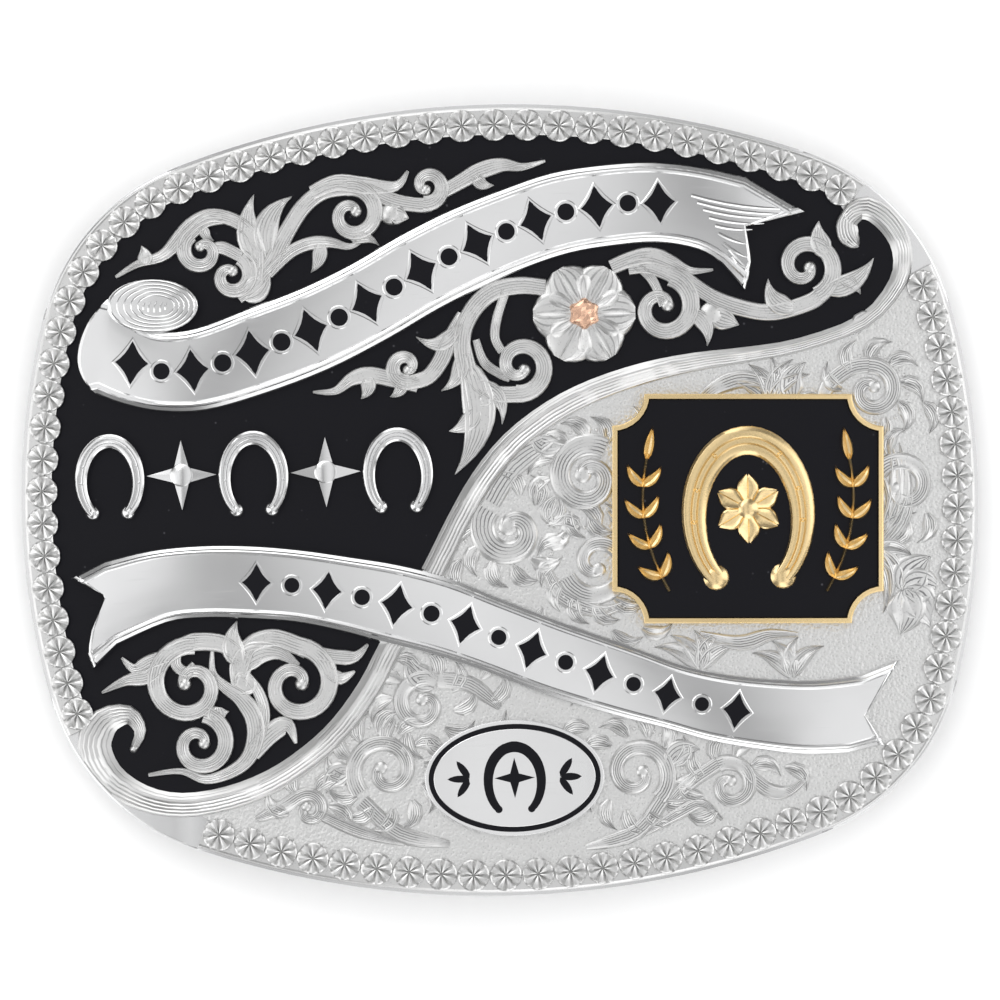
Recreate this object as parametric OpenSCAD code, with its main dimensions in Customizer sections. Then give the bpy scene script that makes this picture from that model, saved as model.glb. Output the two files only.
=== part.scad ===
// Western trophy buckle: a bent oval plate with a star-cut edge, enamel, engraved and cut-out overlays.
// It lies on its back with its face up. X runs across the belt's length, Y up the face and Z out of the face.

/* [Buckle] */
// Width from side to side
buckle_w = 108; // [100:1:116]
// Height from top to bottom
buckle_h = 88.9; // [84:0.1:94]
// Radius of the long arcs at the top and bottom
top_arc_r = 106.2; // [98:0.1:120]
// Radius of the arcs at both sides
side_arc_r = 82; // [76:0.1:94]
// Radius of the four corners
corner_r = 24.6; // [22:0.1:27]
// Radius that the face is bent to across its width
bend_r = 200; // [170:5:400]
// Thickness of the base plate
plate_t = 1.7; // [1.2:0.1:2.5]

/* [Star-cut edge] */
// Spacing of the star-cut rounds along the edge
round_pitch = 3.66; // [3.4:0.02:4]
// Radius of one star-cut round
round_r = 1.86; // [1.7:0.02:2]
// Distance from the plate's edge in to the middle of the rounds
round_inset = 2.3; // [2.2:0.05:2.6]
// Width of the ring that carries the rounds
ring_w = 3.4; // [3.2:0.1:3.8]
// Distance from the plate's edge in to the ring
ring_margin = 0.35; // [0.2:0.05:0.5]
// Height of the ring above the plate
ring_t = 0.5; // [0.4:0.05:0.6]
// Height of the star-cut rounds above the plate
round_t = 0.9; // [0.7:0.05:1.1]

/* [Face layers] */
// Thickness of the black enamel
enamel_t = 0.2; // [0.15:0.05:0.3]
// Thickness of the engraved panel's ground
panel_t = 0.4; // [0.3:0.05:0.6]
// Height of the engraved leaves above the panel's ground
relief_t = 0.22; // [0.15:0.01:0.35]
// Thickness of the sawn scroll overlays
scroll_t = 0.7; // [0.5:0.05:0.9]
// Thickness of the S-shaped dividing band
band_t = 0.85; // [0.6:0.05:1.1]
// Thickness of the two ribbons
ribbon_t = 1.45; // [1.1:0.05:1.8]
// Height of an enamel lozenge as a share of its ribbon's
mark_tall_share = 0.52; // [0.4:0.02:0.6]
// Width of an enamel lozenge as a share of its ribbon's height
mark_wide_share = 0.38; // [0.25:0.01:0.44]
// Diameter of an enamel round as a share of its ribbon's height
mark_round_share = 0.2; // [0.12:0.01:0.26]
// Thickness of the blossom
blossom_t = 0.9; // [0.7:0.05:1.1]
// Thickness of the five raised motifs
motif_t = 0.8; // [0.6:0.05:1]
// Depth of the enamel pockets in the ribbons and the oval plaque
pocket_t = 0.3; // [0.2:0.05:0.4]

/* [Scrollwork] */
// Width of a scroll stem
stem_w = 1.5; // [1.3:0.05:1.7]
// Width of an engraved stem on the panel
relief_stem_w = 1.5; // [1.2:0.05:1.8]
// Width of the dividing band at its widest
band_w = 2.7; // [2.2:0.1:3]
// Radius of the blossom
blossom_r = 5.4; // [4.8:0.1:5.6]
// Radius of the blossom's centre
blossom_centre_r = 1.9; // [1.6:0.1:2.2]

/* [Plaques and motifs] */
// Width of the gold plaque
emblem_w = 30.6; // [28:0.1:32]
// Height of the gold plaque
emblem_h = 25.8; // [24:0.1:27]
// Radius of the scoops at its corners
emblem_scoop_r = 3.6; // [3:0.1:4.5]
// Thickness of the gold plaque's floor
emblem_floor_t = 0.9; // [0.7:0.05:1.1]
// Height of the gold plaque's rim above its floor
emblem_rim_t = 0.7; // [0.5:0.05:0.9]
// Width of the gold plaque's rim
emblem_rim_w = 0.7; // [0.5:0.05:0.9]
// Thickness of the black enamel in the gold plaque
emblem_enamel_t = 0.35; // [0.25:0.05:0.45]
// Thickness of the gold motif
emblem_motif_t = 0.9; // [0.6:0.05:1.1]
// Half width of the oval plaque
oval_rx = 10.1; // [9:0.1:10.6]
// Half height of the oval plaque
oval_ry = 6.5; // [6:0.1:6.8]
// Thickness of the oval plaque
oval_t = 1.1; // [0.9:0.05:1.4]
// Width of the oval's black line
oval_line_w = 0.55; // [0.4:0.05:0.7]
// Distance from the oval's edge in to its black line
oval_margin = 0.45; // [0.35:0.05:0.6]
// Height of the five raised motifs on the face
motif_h = 9.6; // [9:0.1:10.2]
// Width of a raised motif's stroke
motif_stroke_w = 1.5; // [1.2:0.05:1.8]

/* [Back] */
// Height of the plate's back above the surface at mid-width
back_rise = 12.4; // [12:0.1:14]
// Thickness of the wire of the belt loop
wire_d = 3; // [2.4:0.1:3.4]
// Clear width of the belt loop for the strap
strap_w = 40; // [36:1:44]
// Clear length of the belt loop
loop_gap = 10; // [8:0.5:12]
// Distance from mid-width to the middle of the belt loop
loop_x = 34; // [30:0.5:35]
// Radius of the loop's corners, to the middle of the wire
loop_corner_r = 4; // [3:0.5:6]
// Distance from mid-width to the hook post
hook_x = 36; // [30:0.5:42]
// Diameter of the hook post
hook_d = 3.4; // [2.8:0.1:4]
// Diameter of the soldered feet of the post and the loop
foot_d = 7; // [5:0.1:8]
// Thickness of the soldered feet
foot_t = 0.8; // [0.6:0.1:1]

/* [Clearances] */
// Gap between an overlay and what it is seated on
seat_gap = 0.02; // [0.01:0.01:0.04]
// Gap between neighbours on the face
side_gap = 0.06; // [0.04:0.01:0.1]

/* [Hidden] */
// The face is laid out on a sheet of 1000 by 1000 squares, x to the right and y down, as shares of the
// buckle's width and height: the buckle covers sheet_w by sheet_h squares round sheet_mid, and lies turned on
// the sheet by sheet_turn degrees.
sheet_w = 959.8;
sheet_h = 787.7;
sheet_mid = [499.9, 499.5];
sheet_turn = 1.35;

// The upper ribbon's sections from its roll to its tail. Columns: upper edge x, y, lower edge x, y.
UPPER_RIBBON = [
    [108, 298, 96, 394], [130, 318, 124, 404], [158, 331, 160, 411], [196, 328, 206, 410],
    [250, 308, 264, 394], [300, 289, 328, 370], [350, 265, 387, 340], [400, 236, 440, 309],
    [450, 211, 490, 284], [500, 191, 530, 267], [550, 174, 570, 254], [600, 166, 610, 247],
    [650, 163, 656, 243], [700, 168, 698, 250], [746, 178, 722, 264]
];
// Points round the upper ribbon's left end, from its upper edge to its lower edge
UPPER_START = [[108, 298], [90, 317], [79, 340], [76, 362], [83, 381], [96, 394]];
// Tail points of the upper ribbon: upper tip, notch, bulge and lower tip
UPPER_TAIL = [[806, 213], [746, 227], [752, 262], [746, 291]];
// Middle and half sizes of the upper ribbon's rolled end
UPPER_ROLL = [[152, 306], [46, 27]];
// The lower ribbon's sections from left to right, with the same columns
LOWER_RIBBON = [
    [104, 561, 116, 644], [150, 550, 166, 622], [200, 545, 206, 617], [250, 545, 250, 618],
    [300, 549, 295, 621], [350, 556, 341, 630], [400, 564, 386, 642], [450, 577, 430, 653],
    [500, 597, 478, 668], [560, 620, 536, 690], [600, 634, 580, 704], [640, 648, 622, 716],
    [680, 663, 666, 727], [720, 672, 708, 739], [762, 677, 752, 747], [815, 679, 802, 753],
    [862, 674, 848, 752]
];
// Tail points at the left and right: upper tip, notch, bulge and lower tip
LOWER_LEFT_TAIL = [[71, 578], [105, 596], [90, 630], [86, 651], [92, 668]];
LOWER_RIGHT_TAIL = [[901, 659], [866, 714], [886, 743]];

// The dividing band's middle line, from its upper volute to its lower one
BAND_LINE = [
    [846, 240], [848, 217], [868, 208], [890, 224], [903, 250], [898, 283], [864, 321], [800, 345],
    [745, 355], [695, 362], [645, 373], [595, 390], [552, 412], [512, 443], [482, 480], [459, 520],
    [439, 560], [418, 600], [390, 648], [370, 686], [342, 725], [310, 755], [272, 780], [228, 797],
    [182, 804], [142, 797], [108, 776], [93, 746], [104, 721], [128, 714], [140, 730], [133, 748]
];
// Share of the band's full width at its two ends, in the thin stretch under the upper ribbon and where the
// lower volute turns up
BAND_TIP = 0.3;
BAND_THIN = 0.6;
BAND_SWELL = 1.45;
// A point of the band under the lower ribbon, where its two pieces part
BAND_SPLIT = [405, 620];
// Corners of the area beside the band, outside the edge: the panel lies on this side of the band's line,
// between the two points of that line that PANEL_SPAN counts to
PANEL_SIDE = [[186, 880], [620, 1010], [1010, 1010], [1010, 90], [862, 120], [838, 170]];
PANEL_SPAN = [4, 24];
// The two corners outside the band's volutes, where the plate stays bare
BARE_CORNERS = [
    [[903, 250], [890, 224], [868, 208], [846, 212], [838, 196], [850, 150], [1010, 90], [1010, 262], [935, 262]],
    [[104, 721], [93, 746], [108, 776], [142, 797], [182, 804], [165, 880], [0, 900], [0, 700], [66, 712]]
];

// Scrolls are drawn as strokes. Widths are shares of a stem's width.
// Vine columns: width, share at the root, share at the tip, points of the middle line.
// Volute columns: centre, first radius, last radius, start angle, sweep, width.
// Leaf columns: root, tip, bow as a share of the length to the left, width.
// Bud columns: centre, radius in squares, tip.
TOP_VINES = [
    [0.9, 0.2, 0.8, [[115, 277], [137, 264], [165, 254], [190, 226], [214, 216], [243, 226], [257, 250],
                     [257, 281]]],
    [0.9, 1, 0.9, [[224, 217], [205, 221], [189, 235]]],
    [0.8, 0.6, 0.9, [[213, 247], [225, 249], [241, 257]]],
    [1, 0.8, 1, [[238, 298], [256, 284], [272, 262], [284, 238], [303, 208], [324, 192], [349, 188]]],
    [0.8, 0.9, 0.15, [[268, 274], [290, 253], [310, 244], [330, 243], [350, 247], [368, 238]]],
    [1.1, 0.8, 0.15, [[312, 194], [336, 184], [366, 187], [396, 187], [408, 172]]],
    [0.9, 0.8, 1, [[366, 189], [392, 201], [418, 206], [431, 205]]],
    [1, 0.8, 0.15, [[441, 194], [462, 182], [480, 172], [502, 166], [522, 168], [545, 162]]]
];
TOP_VOLUTES = [
    [[202, 251], 20, 5, 128, 345, 0.9],
    [[231, 276], 21, 5, 62, -345, 0.95],
    [[352, 215], 27, 5, 100, -420, 0.95],
    [[427, 187], 18, 4, -102, 350, 0.9]
];
TOP_LEAVES = [
    [[144, 265], [141, 246], -0.1, 0.8], [[204, 226], [214, 241], -0.2, 0.6],
    [[264, 264], [254, 195], 0.16, 1.3], [[268, 256], [292, 197], 0.2, 1.3],
    [[320, 243], [311, 273], 0.12, 0.8], [[352, 242], [379, 246], 0.2, 0.6],
    [[474, 176], [494, 186], -0.2, 0.7], [[242, 296], [268, 268], -0.15, 1.4]
];
TOP_BUDS = [[[391, 214], 12, [409, 219]]];

LEFT_VINES = [
    [1.1, 0.9, 0.9, [[545, 288], [520, 286], [495, 291], [476, 306], [464, 328], [462, 350], [466, 376]]],
    [1, 0.6, 0.9, [[462, 314], [449, 340], [441, 360], [428, 377], [409, 383]]],
    [1, 0.8, 0.15, [[418, 386], [394, 380], [370, 375], [352, 379], [335, 391], [313, 392]]],
    [1, 0.8, 1, [[463, 342], [472, 376], [493, 393], [523, 394]]],
    [0.6, 0.7, 0.9, [[476, 340], [484, 362], [500, 374], [510, 378]]],
    [0.6, 0.9, 0.9, [[506, 291], [497, 318], [495, 338], [502, 352]]]
];
LEFT_VOLUTES = [
    [[406, 367], 16, 4, -76, -340, 0.9],
    [[520, 366], 28, 6, -98, 410, 1]
];
LEFT_LEAVES = [
    [[368, 377], [361, 399], 0.15, 0.8], [[457, 326], [416, 337], 0.3, 0.9],
    [[460, 352], [441, 391], 0.2, 0.9], [[465, 362], [455, 474], 0.17, 1.7],
    [[477, 408], [449, 431], 0.15, 1], [[474, 384], [502, 424], 0.25, 0.9],
    [[404, 380], [390, 397], 0.15, 0.7], [[492, 392], [474, 404], 0.1, 0.8]
];
LEFT_BUDS = [];

RIGHT_VINES = [
    [1, 0.9, 0.15, [[611, 268], [630, 260], [650, 256], [670, 262], [690, 271], [713, 270]]],
    [1, 0.9, 1, [[628, 268], [648, 266], [668, 273], [677, 279]]],
    [0.6, 0.8, 0.9, [[636, 266], [650, 278], [658, 292], [663, 306]]],
    [1, 0.8, 1, [[682, 276], [712, 297], [745, 309], [775, 312], [810, 302], [823, 292]]]
];
RIGHT_VOLUTES = [
    [[662, 308], 32, 6, 74, -405, 1.05],
    [[805, 267], 31, 5, -66, 415, 1]
];
RIGHT_LEAVES = [
    [[828, 256], [819, 221], 0.12, 1.1], [[824, 290], [874, 258], -0.14, 1.1],
    [[840, 280], [861, 294], 0.15, 0.7], [[796, 308], [768, 279], 0.25, 1.1],
    [[690, 312], [707, 346], 0.2, 0.9]
];
RIGHT_BUDS = [[[712, 315], 14, [739, 325]]];

LOWER_VINES = [
    [1.1, 0.8, 1, [[243, 657], [222, 643], [196, 641], [184, 645]]],
    [0.9, 0.9, 0.15, [[162, 664], [146, 676], [125, 680], [101, 692]]],
    [0.9, 0.9, 0.15, [[170, 654], [150, 661], [134, 668], [121, 657]]],
    [0.7, 0.8, 0.8, [[177, 650], [176, 664], [186, 671], [195, 664]]],
    [1.1, 0.2, 0.2, [[212, 650], [213, 672], [225, 686], [241, 697], [253, 714], [256, 735], [248, 757],
                     [230, 771], [205, 778], [180, 770], [148, 774]]],
    [1.6, 0.6, 0.15, [[240, 686], [241, 665], [254, 653], [277, 651], [299, 664]]],
    [1.1, 0.8, 1, [[240, 672], [249, 646], [272, 637], [297, 644], [308, 649]]],
    [0.9, 0.9, 0.15, [[318, 652], [338, 656], [356, 655], [368, 643]]],
    [0.8, 0.9, 0.15, [[328, 670], [341, 677], [355, 670]]],
    [0.7, 0.8, 0.8, [[244, 672], [258, 690], [265, 715], [258, 742]]],
    [1.2, 0.9, 0.15, [[252, 752], [272, 731], [288, 724], [296, 742]]]
];
LOWER_VOLUTES = [
    [[190, 684], 40, 6, 84, 445, 1.05],
    [[296, 683], 38, 6, 84, -440, 1.05],
    [[199, 743], 30, 5, 80, -430, 0.95]
];
LOWER_LEAVES = [
    [[241, 664], [237, 620], 0.15, 1.2], [[218, 706], [224, 722], -0.15, 1.2],
    [[250, 674], [232, 690], 0.1, 1.4]
];
LOWER_BUDS = [];

PANEL_VINES = [
    [1.6, 0.5, 1, [[552, 437], [512, 464], [488, 500]]],
    [1, 0.5, 0.3, [[545, 566], [562, 595], [600, 610], [632, 600]]],
    [1.1, 0.5, 0.3, [[690, 410], [715, 388], [743, 379], [773, 386], [797, 408]]],
    [1, 0.5, 1, [[818, 414], [828, 386], [850, 368], [870, 364]]],
    [1, 0.5, 0.3, [[700, 634], [740, 642], [770, 634], [798, 634]]],
    [1, 0.4, 1, [[500, 706], [470, 683], [438, 679]]],
    [1, 0.4, 1, [[450, 842], [400, 832], [362, 800]]],
    [0.9, 0.4, 1, [[256, 818], [282, 806], [299, 795]]],
    [0.8, 0.8, 0.3, [[318, 812], [360, 830], [404, 842]]],
    [1, 0.4, 1, [[586, 845], [636, 830], [662, 798]]],
    [0.9, 0.4, 1, [[668, 802], [689, 782], [718, 762]]],
    [0.9, 0.8, 0.2, [[744, 768], [767, 788], [788, 790], [810, 774]]],
    [0.8, 0.4, 0.3, [[644, 832], [678, 812], [702, 802], [722, 818]]]
];
PANEL_VOLUTES = [
    [[511, 529], 31, 5, 140, 350, 1.5],
    [[588, 477], 34, 6, 60, 450, 1.3],
    [[597, 563], 34, 6, 205, 440, 1.1],
    [[872, 390], 25, 5, 96, -400, 1],
    [[904, 486], 31, 9, 212, -380, 1.1],
    [[423, 703], 27, 5, 60, 400, 1],
    [[386, 769], 34, 6, 220, -430, 1],
    [[309, 808], 16, 4, 130, -360, 0.8],
    [[637, 772], 33, 6, -48, 430, 1],
    [[730, 784], 24, 5, 120, -400, 0.9]
];
PANEL_LEAVES = [
    [[792, 400], [806, 362], 0.2, 1.4], [[800, 412], [822, 396], 0.2, 1],
    [[436, 682], [408, 652], 0.2, 1.5], [[350, 770], [326, 792], -0.2, 1.4],
    [[668, 762], [700, 748], 0.2, 1.3], [[560, 445], [530, 430], 0.2, 1.3],
    [[905, 590], [932, 556], 0.1, 2.2], [[905, 590], [944, 590], 0.1, 2.2],
    [[905, 590], [934, 628], 0.1, 2.2], [[905, 590], [900, 634], 0.1, 2.2]
];
PANEL_BUDS = [];

// Middles of the blossom, the gold plaque and the oval plaque
BLOSSOM_MID = [584, 314];
EMBLEM_MID = [748, 508];
OVAL_MID = [514.5, 776];
// Middles of the first and last raised motif and how many stand in the row
MOTIF_ROW = [[109, 476.5], [398, 470], 5];
// Stretches of the ribbons that carry enamel marks, as shares of their length, and how many marks
UPPER_MARKS = [0.05, 0.885, 19];
LOWER_MARKS = [0.195, 0.845, 15];

PETALS = 6;
// Where the upper run of rounds starts, as a share of the way round, and how many are left out at each corner
RUN_START = 0.186;
ROUNDS_LEFT_OUT = 3;
// How far the rounds are moved on along the edge, as a share of their spacing
ROUND_SHIFT = 0.25;
// How far the last round of a run may reach under the band, where it is cut away
ROUND_LAP = 0.9;
CURVE_STEPS = 5;
BAND_STEPS = 3;
ARC_STEP = 2;
REACH = 4;
HAIRLINE = 0.04;
FLATS = 22;

face_z = back_rise + plate_t;
axis_z = face_z - bend_r;
square = buckle_w / sheet_w;
enamel_top = seat_gap + enamel_t;
overlay_low = enamel_top + seat_gap;

// Arithmetic that the outlines share
function total(v, n) = n <= 0 ? 0 : v[n - 1] + total(v, n - 1);
function unit(v) = v / max(norm(v), 0.000001);
function left_of(v) = [-v[1], v[0]];
function turned(v, a) = [v[0] * cos(a) - v[1] * sin(a), v[0] * sin(a) + v[1] * cos(a)];
function on_face(p) =
    let (q = turned([p[0] - sheet_mid[0], sheet_mid[1] - p[1]], -sheet_turn))
    [q[0] * buckle_w / sheet_w, q[1] * buckle_h / sheet_h];
function arc_points(r, from, to, n) = [
    for (i = [0:n])
        let (a = from + (to - from) * i / n)
        r * [cos(a), sin(a)]
];

// A smooth curve through points
function curve_at(a, b, c, d, t) =
    0.5 * (2 * b + (c - a) * t + (2 * a - 5 * b + 4 * c - d) * t * t + (3 * b - a - 3 * c + d) * t * t * t);
function curve(points, steps = CURVE_STEPS) =
    let (last = len(points) - 1)
    concat([
        for (i = [0:last - 1]) for (j = [0:steps - 1])
            curve_at(points[max(i - 1, 0)], points[i], points[i + 1], points[min(i + 2, last)], j / steps)
    ], [points[last]]);
function along(path, i) = unit(path[min(i + 1, len(path) - 1)] - path[max(i - 1, 0)]);

// The outline is eight arcs that run into each other: sides, corners, top and bottom
top_mid_y = buckle_h / 2 - top_arc_r;
side_mid_x = buckle_w / 2 - side_arc_r;
function circles_meet(a, ra, b, rb) =
    let (
        d = norm(b - a),
        ahead = (d * d + ra * ra - rb * rb) / (2 * d),
        aside = sqrt(ra * ra - ahead * ahead)
    )
    a + unit(b - a) * ahead + left_of(unit(b - a)) * aside;
corner_mid = circles_meet([side_mid_x, 0], side_arc_r - corner_r, [0, top_mid_y], top_arc_r - corner_r);
side_angle = atan2(corner_mid[1], corner_mid[0] - side_mid_x);
top_angle = atan2(corner_mid[1] - top_mid_y, corner_mid[0]);
// Columns: centre, radius, first angle, last angle
rim_arcs = [
    [[side_mid_x, 0], side_arc_r, -side_angle, side_angle],
    [corner_mid, corner_r, side_angle, top_angle],
    [[0, top_mid_y], top_arc_r, top_angle, 180 - top_angle],
    [[-corner_mid[0], corner_mid[1]], corner_r, 180 - top_angle, 180 - side_angle],
    [[-side_mid_x, 0], side_arc_r, 180 - side_angle, 180 + side_angle],
    [-corner_mid, corner_r, 180 + side_angle, 180 + top_angle],
    [[0, -top_mid_y], top_arc_r, 180 + top_angle, 360 - top_angle],
    [[corner_mid[0], -corner_mid[1]], corner_r, 360 - top_angle, 360 - side_angle]
];
function arc_length(arc, inset) = (arc[1] - inset) * (arc[3] - arc[2]) * PI / 180;
function rim_lengths(inset) = [for (arc = rim_arcs) arc_length(arc, inset)];
function rim_outline(inset) = [
    for (arc = rim_arcs)
        let (n = max(3, ceil(arc_length(arc, 0) / ARC_STEP)))
        for (i = [0:n - 1])
            let (a = arc[2] + (arc[3] - arc[2]) * i / n)
            arc[0] + (arc[1] - inset) * [cos(a), sin(a)]
];
function rim_spot(s, inset, k = 0) =
    let (long = arc_length(rim_arcs[k], inset))
    s > long && k < 7 ? rim_spot(s - long, inset, k + 1)
    : let (a = rim_arcs[k][2] + (rim_arcs[k][3] - rim_arcs[k][2]) * s / long)
      rim_arcs[k][0] + (rim_arcs[k][1] - inset) * [cos(a), sin(a)];
rim_path = total(rim_lengths(round_inset), 8);
round_count = round(rim_path / round_pitch);
function round_mid(i) = rim_spot(rim_path * ((i + ROUND_SHIFT) % round_count) / round_count, round_inset);
band_path = curve([for (p = BAND_LINE) on_face(p)], BAND_STEPS);
function band_share(t) =
    min(BAND_TIP + (1 - BAND_TIP) * min(t / 0.06, (1 - t) / 0.1), 1)
    * (1 - (1 - BAND_THIN) * exp(-pow((t - 0.22) / 0.09, 2)))
    * (1 + (BAND_SWELL - 1) * exp(-pow((t - 0.87) / 0.05, 2)));
// The rounds are in two runs. They leave out a few at two corners, where the dividing band meets the edge.
// The ends of the runs move on from the band until the last round hardly touches it.
run_start = round(round_count * RUN_START);
run_half = floor(round_count / 2);
function clear_of_band(i) =
    let (mid = round_mid((i + round_count) % round_count), last = len(band_path) - 1)
    min([for (k = [0:last]) norm(band_path[k] - mid) - band_w * band_share(k / last) / 2]) > round_r - ROUND_LAP;
function run_end(i, way, tries = 8) = tries < 1 || clear_of_band(i) ? i : run_end(i + way, way, tries - 1);
upper_first = run_end(run_start, 1);
upper_last = run_end(run_start + run_half - ROUNDS_LEFT_OUT - 1, -1);
lower_first = run_end(run_start + run_half, 1);
lower_last = run_end(run_start + round_count - ROUNDS_LEFT_OUT - 1, -1);

// Flat outlines in the plan of the face
module rim_2d(inset) {
    polygon(rim_outline(inset));
}
module rounds_2d(first, last, grow = 0) {
    for (i = [first:last]) translate(round_mid(i)) circle(r = round_r + grow, $fn = 24);
}
module run_wedge_2d(first, last) {
    from = unit(round_mid(first) + round_mid(first - 1));
    to = unit(round_mid(last) + round_mid(last + 1));
    start = atan2(from[1], from[0]);
    turn = (atan2(to[1], to[0]) - start + 360) % 360;
    polygon(concat([[0, 0]], arc_points(buckle_w, start, start + turn, 12)));
}
module ring_run_2d(first, last) {
    intersection() {
        union() {
            difference() {
                rim_2d(ring_margin);
                rim_2d(ring_w);
            }
            rounds_2d(first, last);
        }
        difference() {
            run_wedge_2d(first, last);
            offset(delta = side_gap) band_2d();
        }
    }
}
module rings_2d(gap) {
    offset(delta = gap) {
        ring_run_2d(upper_first, upper_last);
        ring_run_2d(lower_first, lower_last);
    }
}
// The area inside the scalloped edge, and the smooth one that just clears the rounds, for the panel
module field_2d(gap) {
    difference() {
        rim_2d(ring_w);
        rings_2d(gap);
    }
}
module panel_field_2d(gap) {
    rim_2d(max(ring_w, round_inset + round_r) + gap);
}

// Strokes of the scrollwork
function swell(t, root, tip) = min(1, root + (1 - root) * t / 0.35, tip + (1 - tip) * (1 - t) / 0.5);
module stroke_2d(path, widths) {
    last = len(path) - 1;
    side = [for (i = [0:last]) left_of(along(path, i)) * widths[i] / 2];
    for (i = [0:last - 1])
        polygon([path[i] + side[i], path[i] - side[i], path[i + 1] - side[i + 1], path[i + 1] + side[i + 1]]);
}
module vine_2d(row, stem) {
    path = curve([for (p = row[3]) on_face(p)]);
    last = len(path) - 1;
    stroke_2d(path, [for (i = [0:last]) row[0] * stem * swell(i / last, row[1], row[2])]);
}
function volute_path(row, n) = [
    for (i = [0:n])
        let (t = i / n, r = row[1] + (row[2] - row[1]) * pow(t, 1.2), a = row[3] + row[4] * t)
        on_face(row[0] + r * [cos(a), -sin(a)])
];
module volute_2d(row, stem) {
    n = ceil(abs(row[4]) / 18);
    path = volute_path(row, n);
    stroke_2d(path, [for (i = [0:n]) row[5] * stem * (1 - 0.5 * i / n)]);
    translate(path[n]) circle(r = row[5] * stem * 0.42, $fn = 20);
}
function bowed(a, b, bow, n) = [
    for (i = [0:n])
        a + (b - a) * i / n + left_of(b - a) * bow * 4 * (i / n) * (1 - i / n)
];
module leaf_2d(root, tip, bow, width) {
    n = 8;
    stroke_2d(bowed(root, tip, bow, n), [for (i = [0:n]) width * sin(20 + 160 * pow(i / n, 0.8))]);
}
module bud_2d(row) {
    mid = on_face(row[0]);
    r = row[1] * square;
    translate(mid) circle(r = r, $fn = 24);
    leaf_2d(mid, on_face(row[2]), 0, 1.7 * r);
}
module spray_2d(vines, volutes, leaves, buds, stem) {
    for (row = vines) vine_2d(row, stem);
    for (row = volutes) volute_2d(row, stem);
    for (row = leaves) leaf_2d(on_face(row[0]), on_face(row[1]), row[2], row[3] * stem);
    for (row = buds) bud_2d(row);
}

// Ribbons, band, blossom and plaques in plan
function upper_edge(rows) = curve([for (row = rows) on_face([row[0], row[1]])], 3);
function lower_edge(rows) = curve([for (row = rows) on_face([row[2], row[3]])], 3);
function back_to_front(v) = [for (i = [len(v) - 1:-1:0]) v[i]];
function tail(points) = [for (p = points) on_face(p)];
module upper_ribbon_2d() {
    polygon(concat(upper_edge(UPPER_RIBBON), tail(UPPER_TAIL), back_to_front(lower_edge(UPPER_RIBBON))));
    polygon(concat(curve(tail(UPPER_START), 3), [on_face([150, 350])]));
    polygon([
        for (a = [0:10:350])
            on_face(UPPER_ROLL[0] + [UPPER_ROLL[1][0] * cos(a), UPPER_ROLL[1][1] * sin(a)])
    ]);
}
module lower_ribbon_2d() {
    polygon(concat(
        upper_edge(LOWER_RIBBON), tail(LOWER_RIGHT_TAIL),
        back_to_front(lower_edge(LOWER_RIBBON)), back_to_front(tail(LOWER_LEFT_TAIL))
    ));
}
module band_2d() {
    last = len(band_path) - 1;
    stroke_2d(band_path, [for (i = [0:last]) band_w * band_share(i / last)]);
}
module panel_side_2d() {
    polygon(concat(
        [for (i = [PANEL_SPAN[0] * BAND_STEPS:PANEL_SPAN[1] * BAND_STEPS]) band_path[i]],
        [for (p = PANEL_SIDE) on_face(p)]
    ));
}
module bare_corners_2d() {
    for (points = BARE_CORNERS) polygon([for (p = points) on_face(p)]);
}
module blossom_2d() {
    petal_r = blossom_r * 0.42;
    translate(on_face(BLOSSOM_MID)) {
        circle(r = blossom_r * 0.5, $fn = 36);
        for (i = [0:PETALS - 1])
            rotate(i * 360 / PETALS) translate([blossom_r - petal_r, 0]) circle(r = petal_r, $fn = 28);
    }
}
module blossom_centre_2d(grow = 0) {
    lobe_r = blossom_centre_r * 0.42;
    translate(on_face(BLOSSOM_MID)) {
        circle(r = blossom_centre_r * 0.65 + grow, $fn = 24);
        for (i = [0:PETALS - 1])
            rotate((i + 0.5) * 360 / PETALS)
                translate([blossom_centre_r - lobe_r, 0]) circle(r = lobe_r + grow, $fn = 20);
    }
}
module emblem_2d(inset) {
    translate(on_face(EMBLEM_MID)) rotate(-sheet_turn) difference() {
        square([emblem_w - 2 * inset, emblem_h - 2 * inset], center = true);
        for (x = [-1, 1]) for (y = [-1, 1])
            translate([x * emblem_w / 2, y * emblem_h / 2]) circle(r = emblem_scoop_r + inset, $fn = 48);
    }
}
module oval_2d(inset) {
    translate(on_face(OVAL_MID))
        polygon([for (a = [0:6:354]) [(oval_rx - inset) * cos(a), (oval_ry - inset) * sin(a)]]);
}
module overlays_2d() {
    upper_ribbon_2d();
    lower_ribbon_2d();
    emblem_2d(0);
    oval_2d(0);
}

// A horseshoe, open at the bottom, with a blunt heel on each arm
module horseshoe_2d(h, stroke) {
    rx = h * 0.34;
    ry = (h - stroke) / 1.79;
    path = [for (a = [232:-12:-52]) [rx * cos(a), h / 2 - stroke / 2 - ry + ry * sin(a)]];
    last = len(path) - 1;
    stroke_2d(path, [for (i = [0:last]) stroke * (0.8 + 0.4 * sin(180 * i / last))]);
    for (x = [-1, 1]) translate([x * path[last][0], path[last][1]]) circle(d = stroke * 1.15, $fn = 20);
}
// A four-pointed star with a round boss
module star_2d(h, boss) {
    polygon([for (i = [0:7]) (i % 2 == 0 ? h / 2 : h * 0.15) * [cos(45 * i), sin(45 * i)]]);
    circle(r = boss, $fn = 32);
}
module motif_2d(i) {
    first = on_face(MOTIF_ROW[0]);
    last = on_face(MOTIF_ROW[1]);
    translate(first + (last - first) * i / (MOTIF_ROW[2] - 1))
        if (i % 2 == 0) horseshoe_2d(motif_h, motif_stroke_w);
        else star_2d(motif_h * 0.82, motif_stroke_w * 0.9);
}
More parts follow.
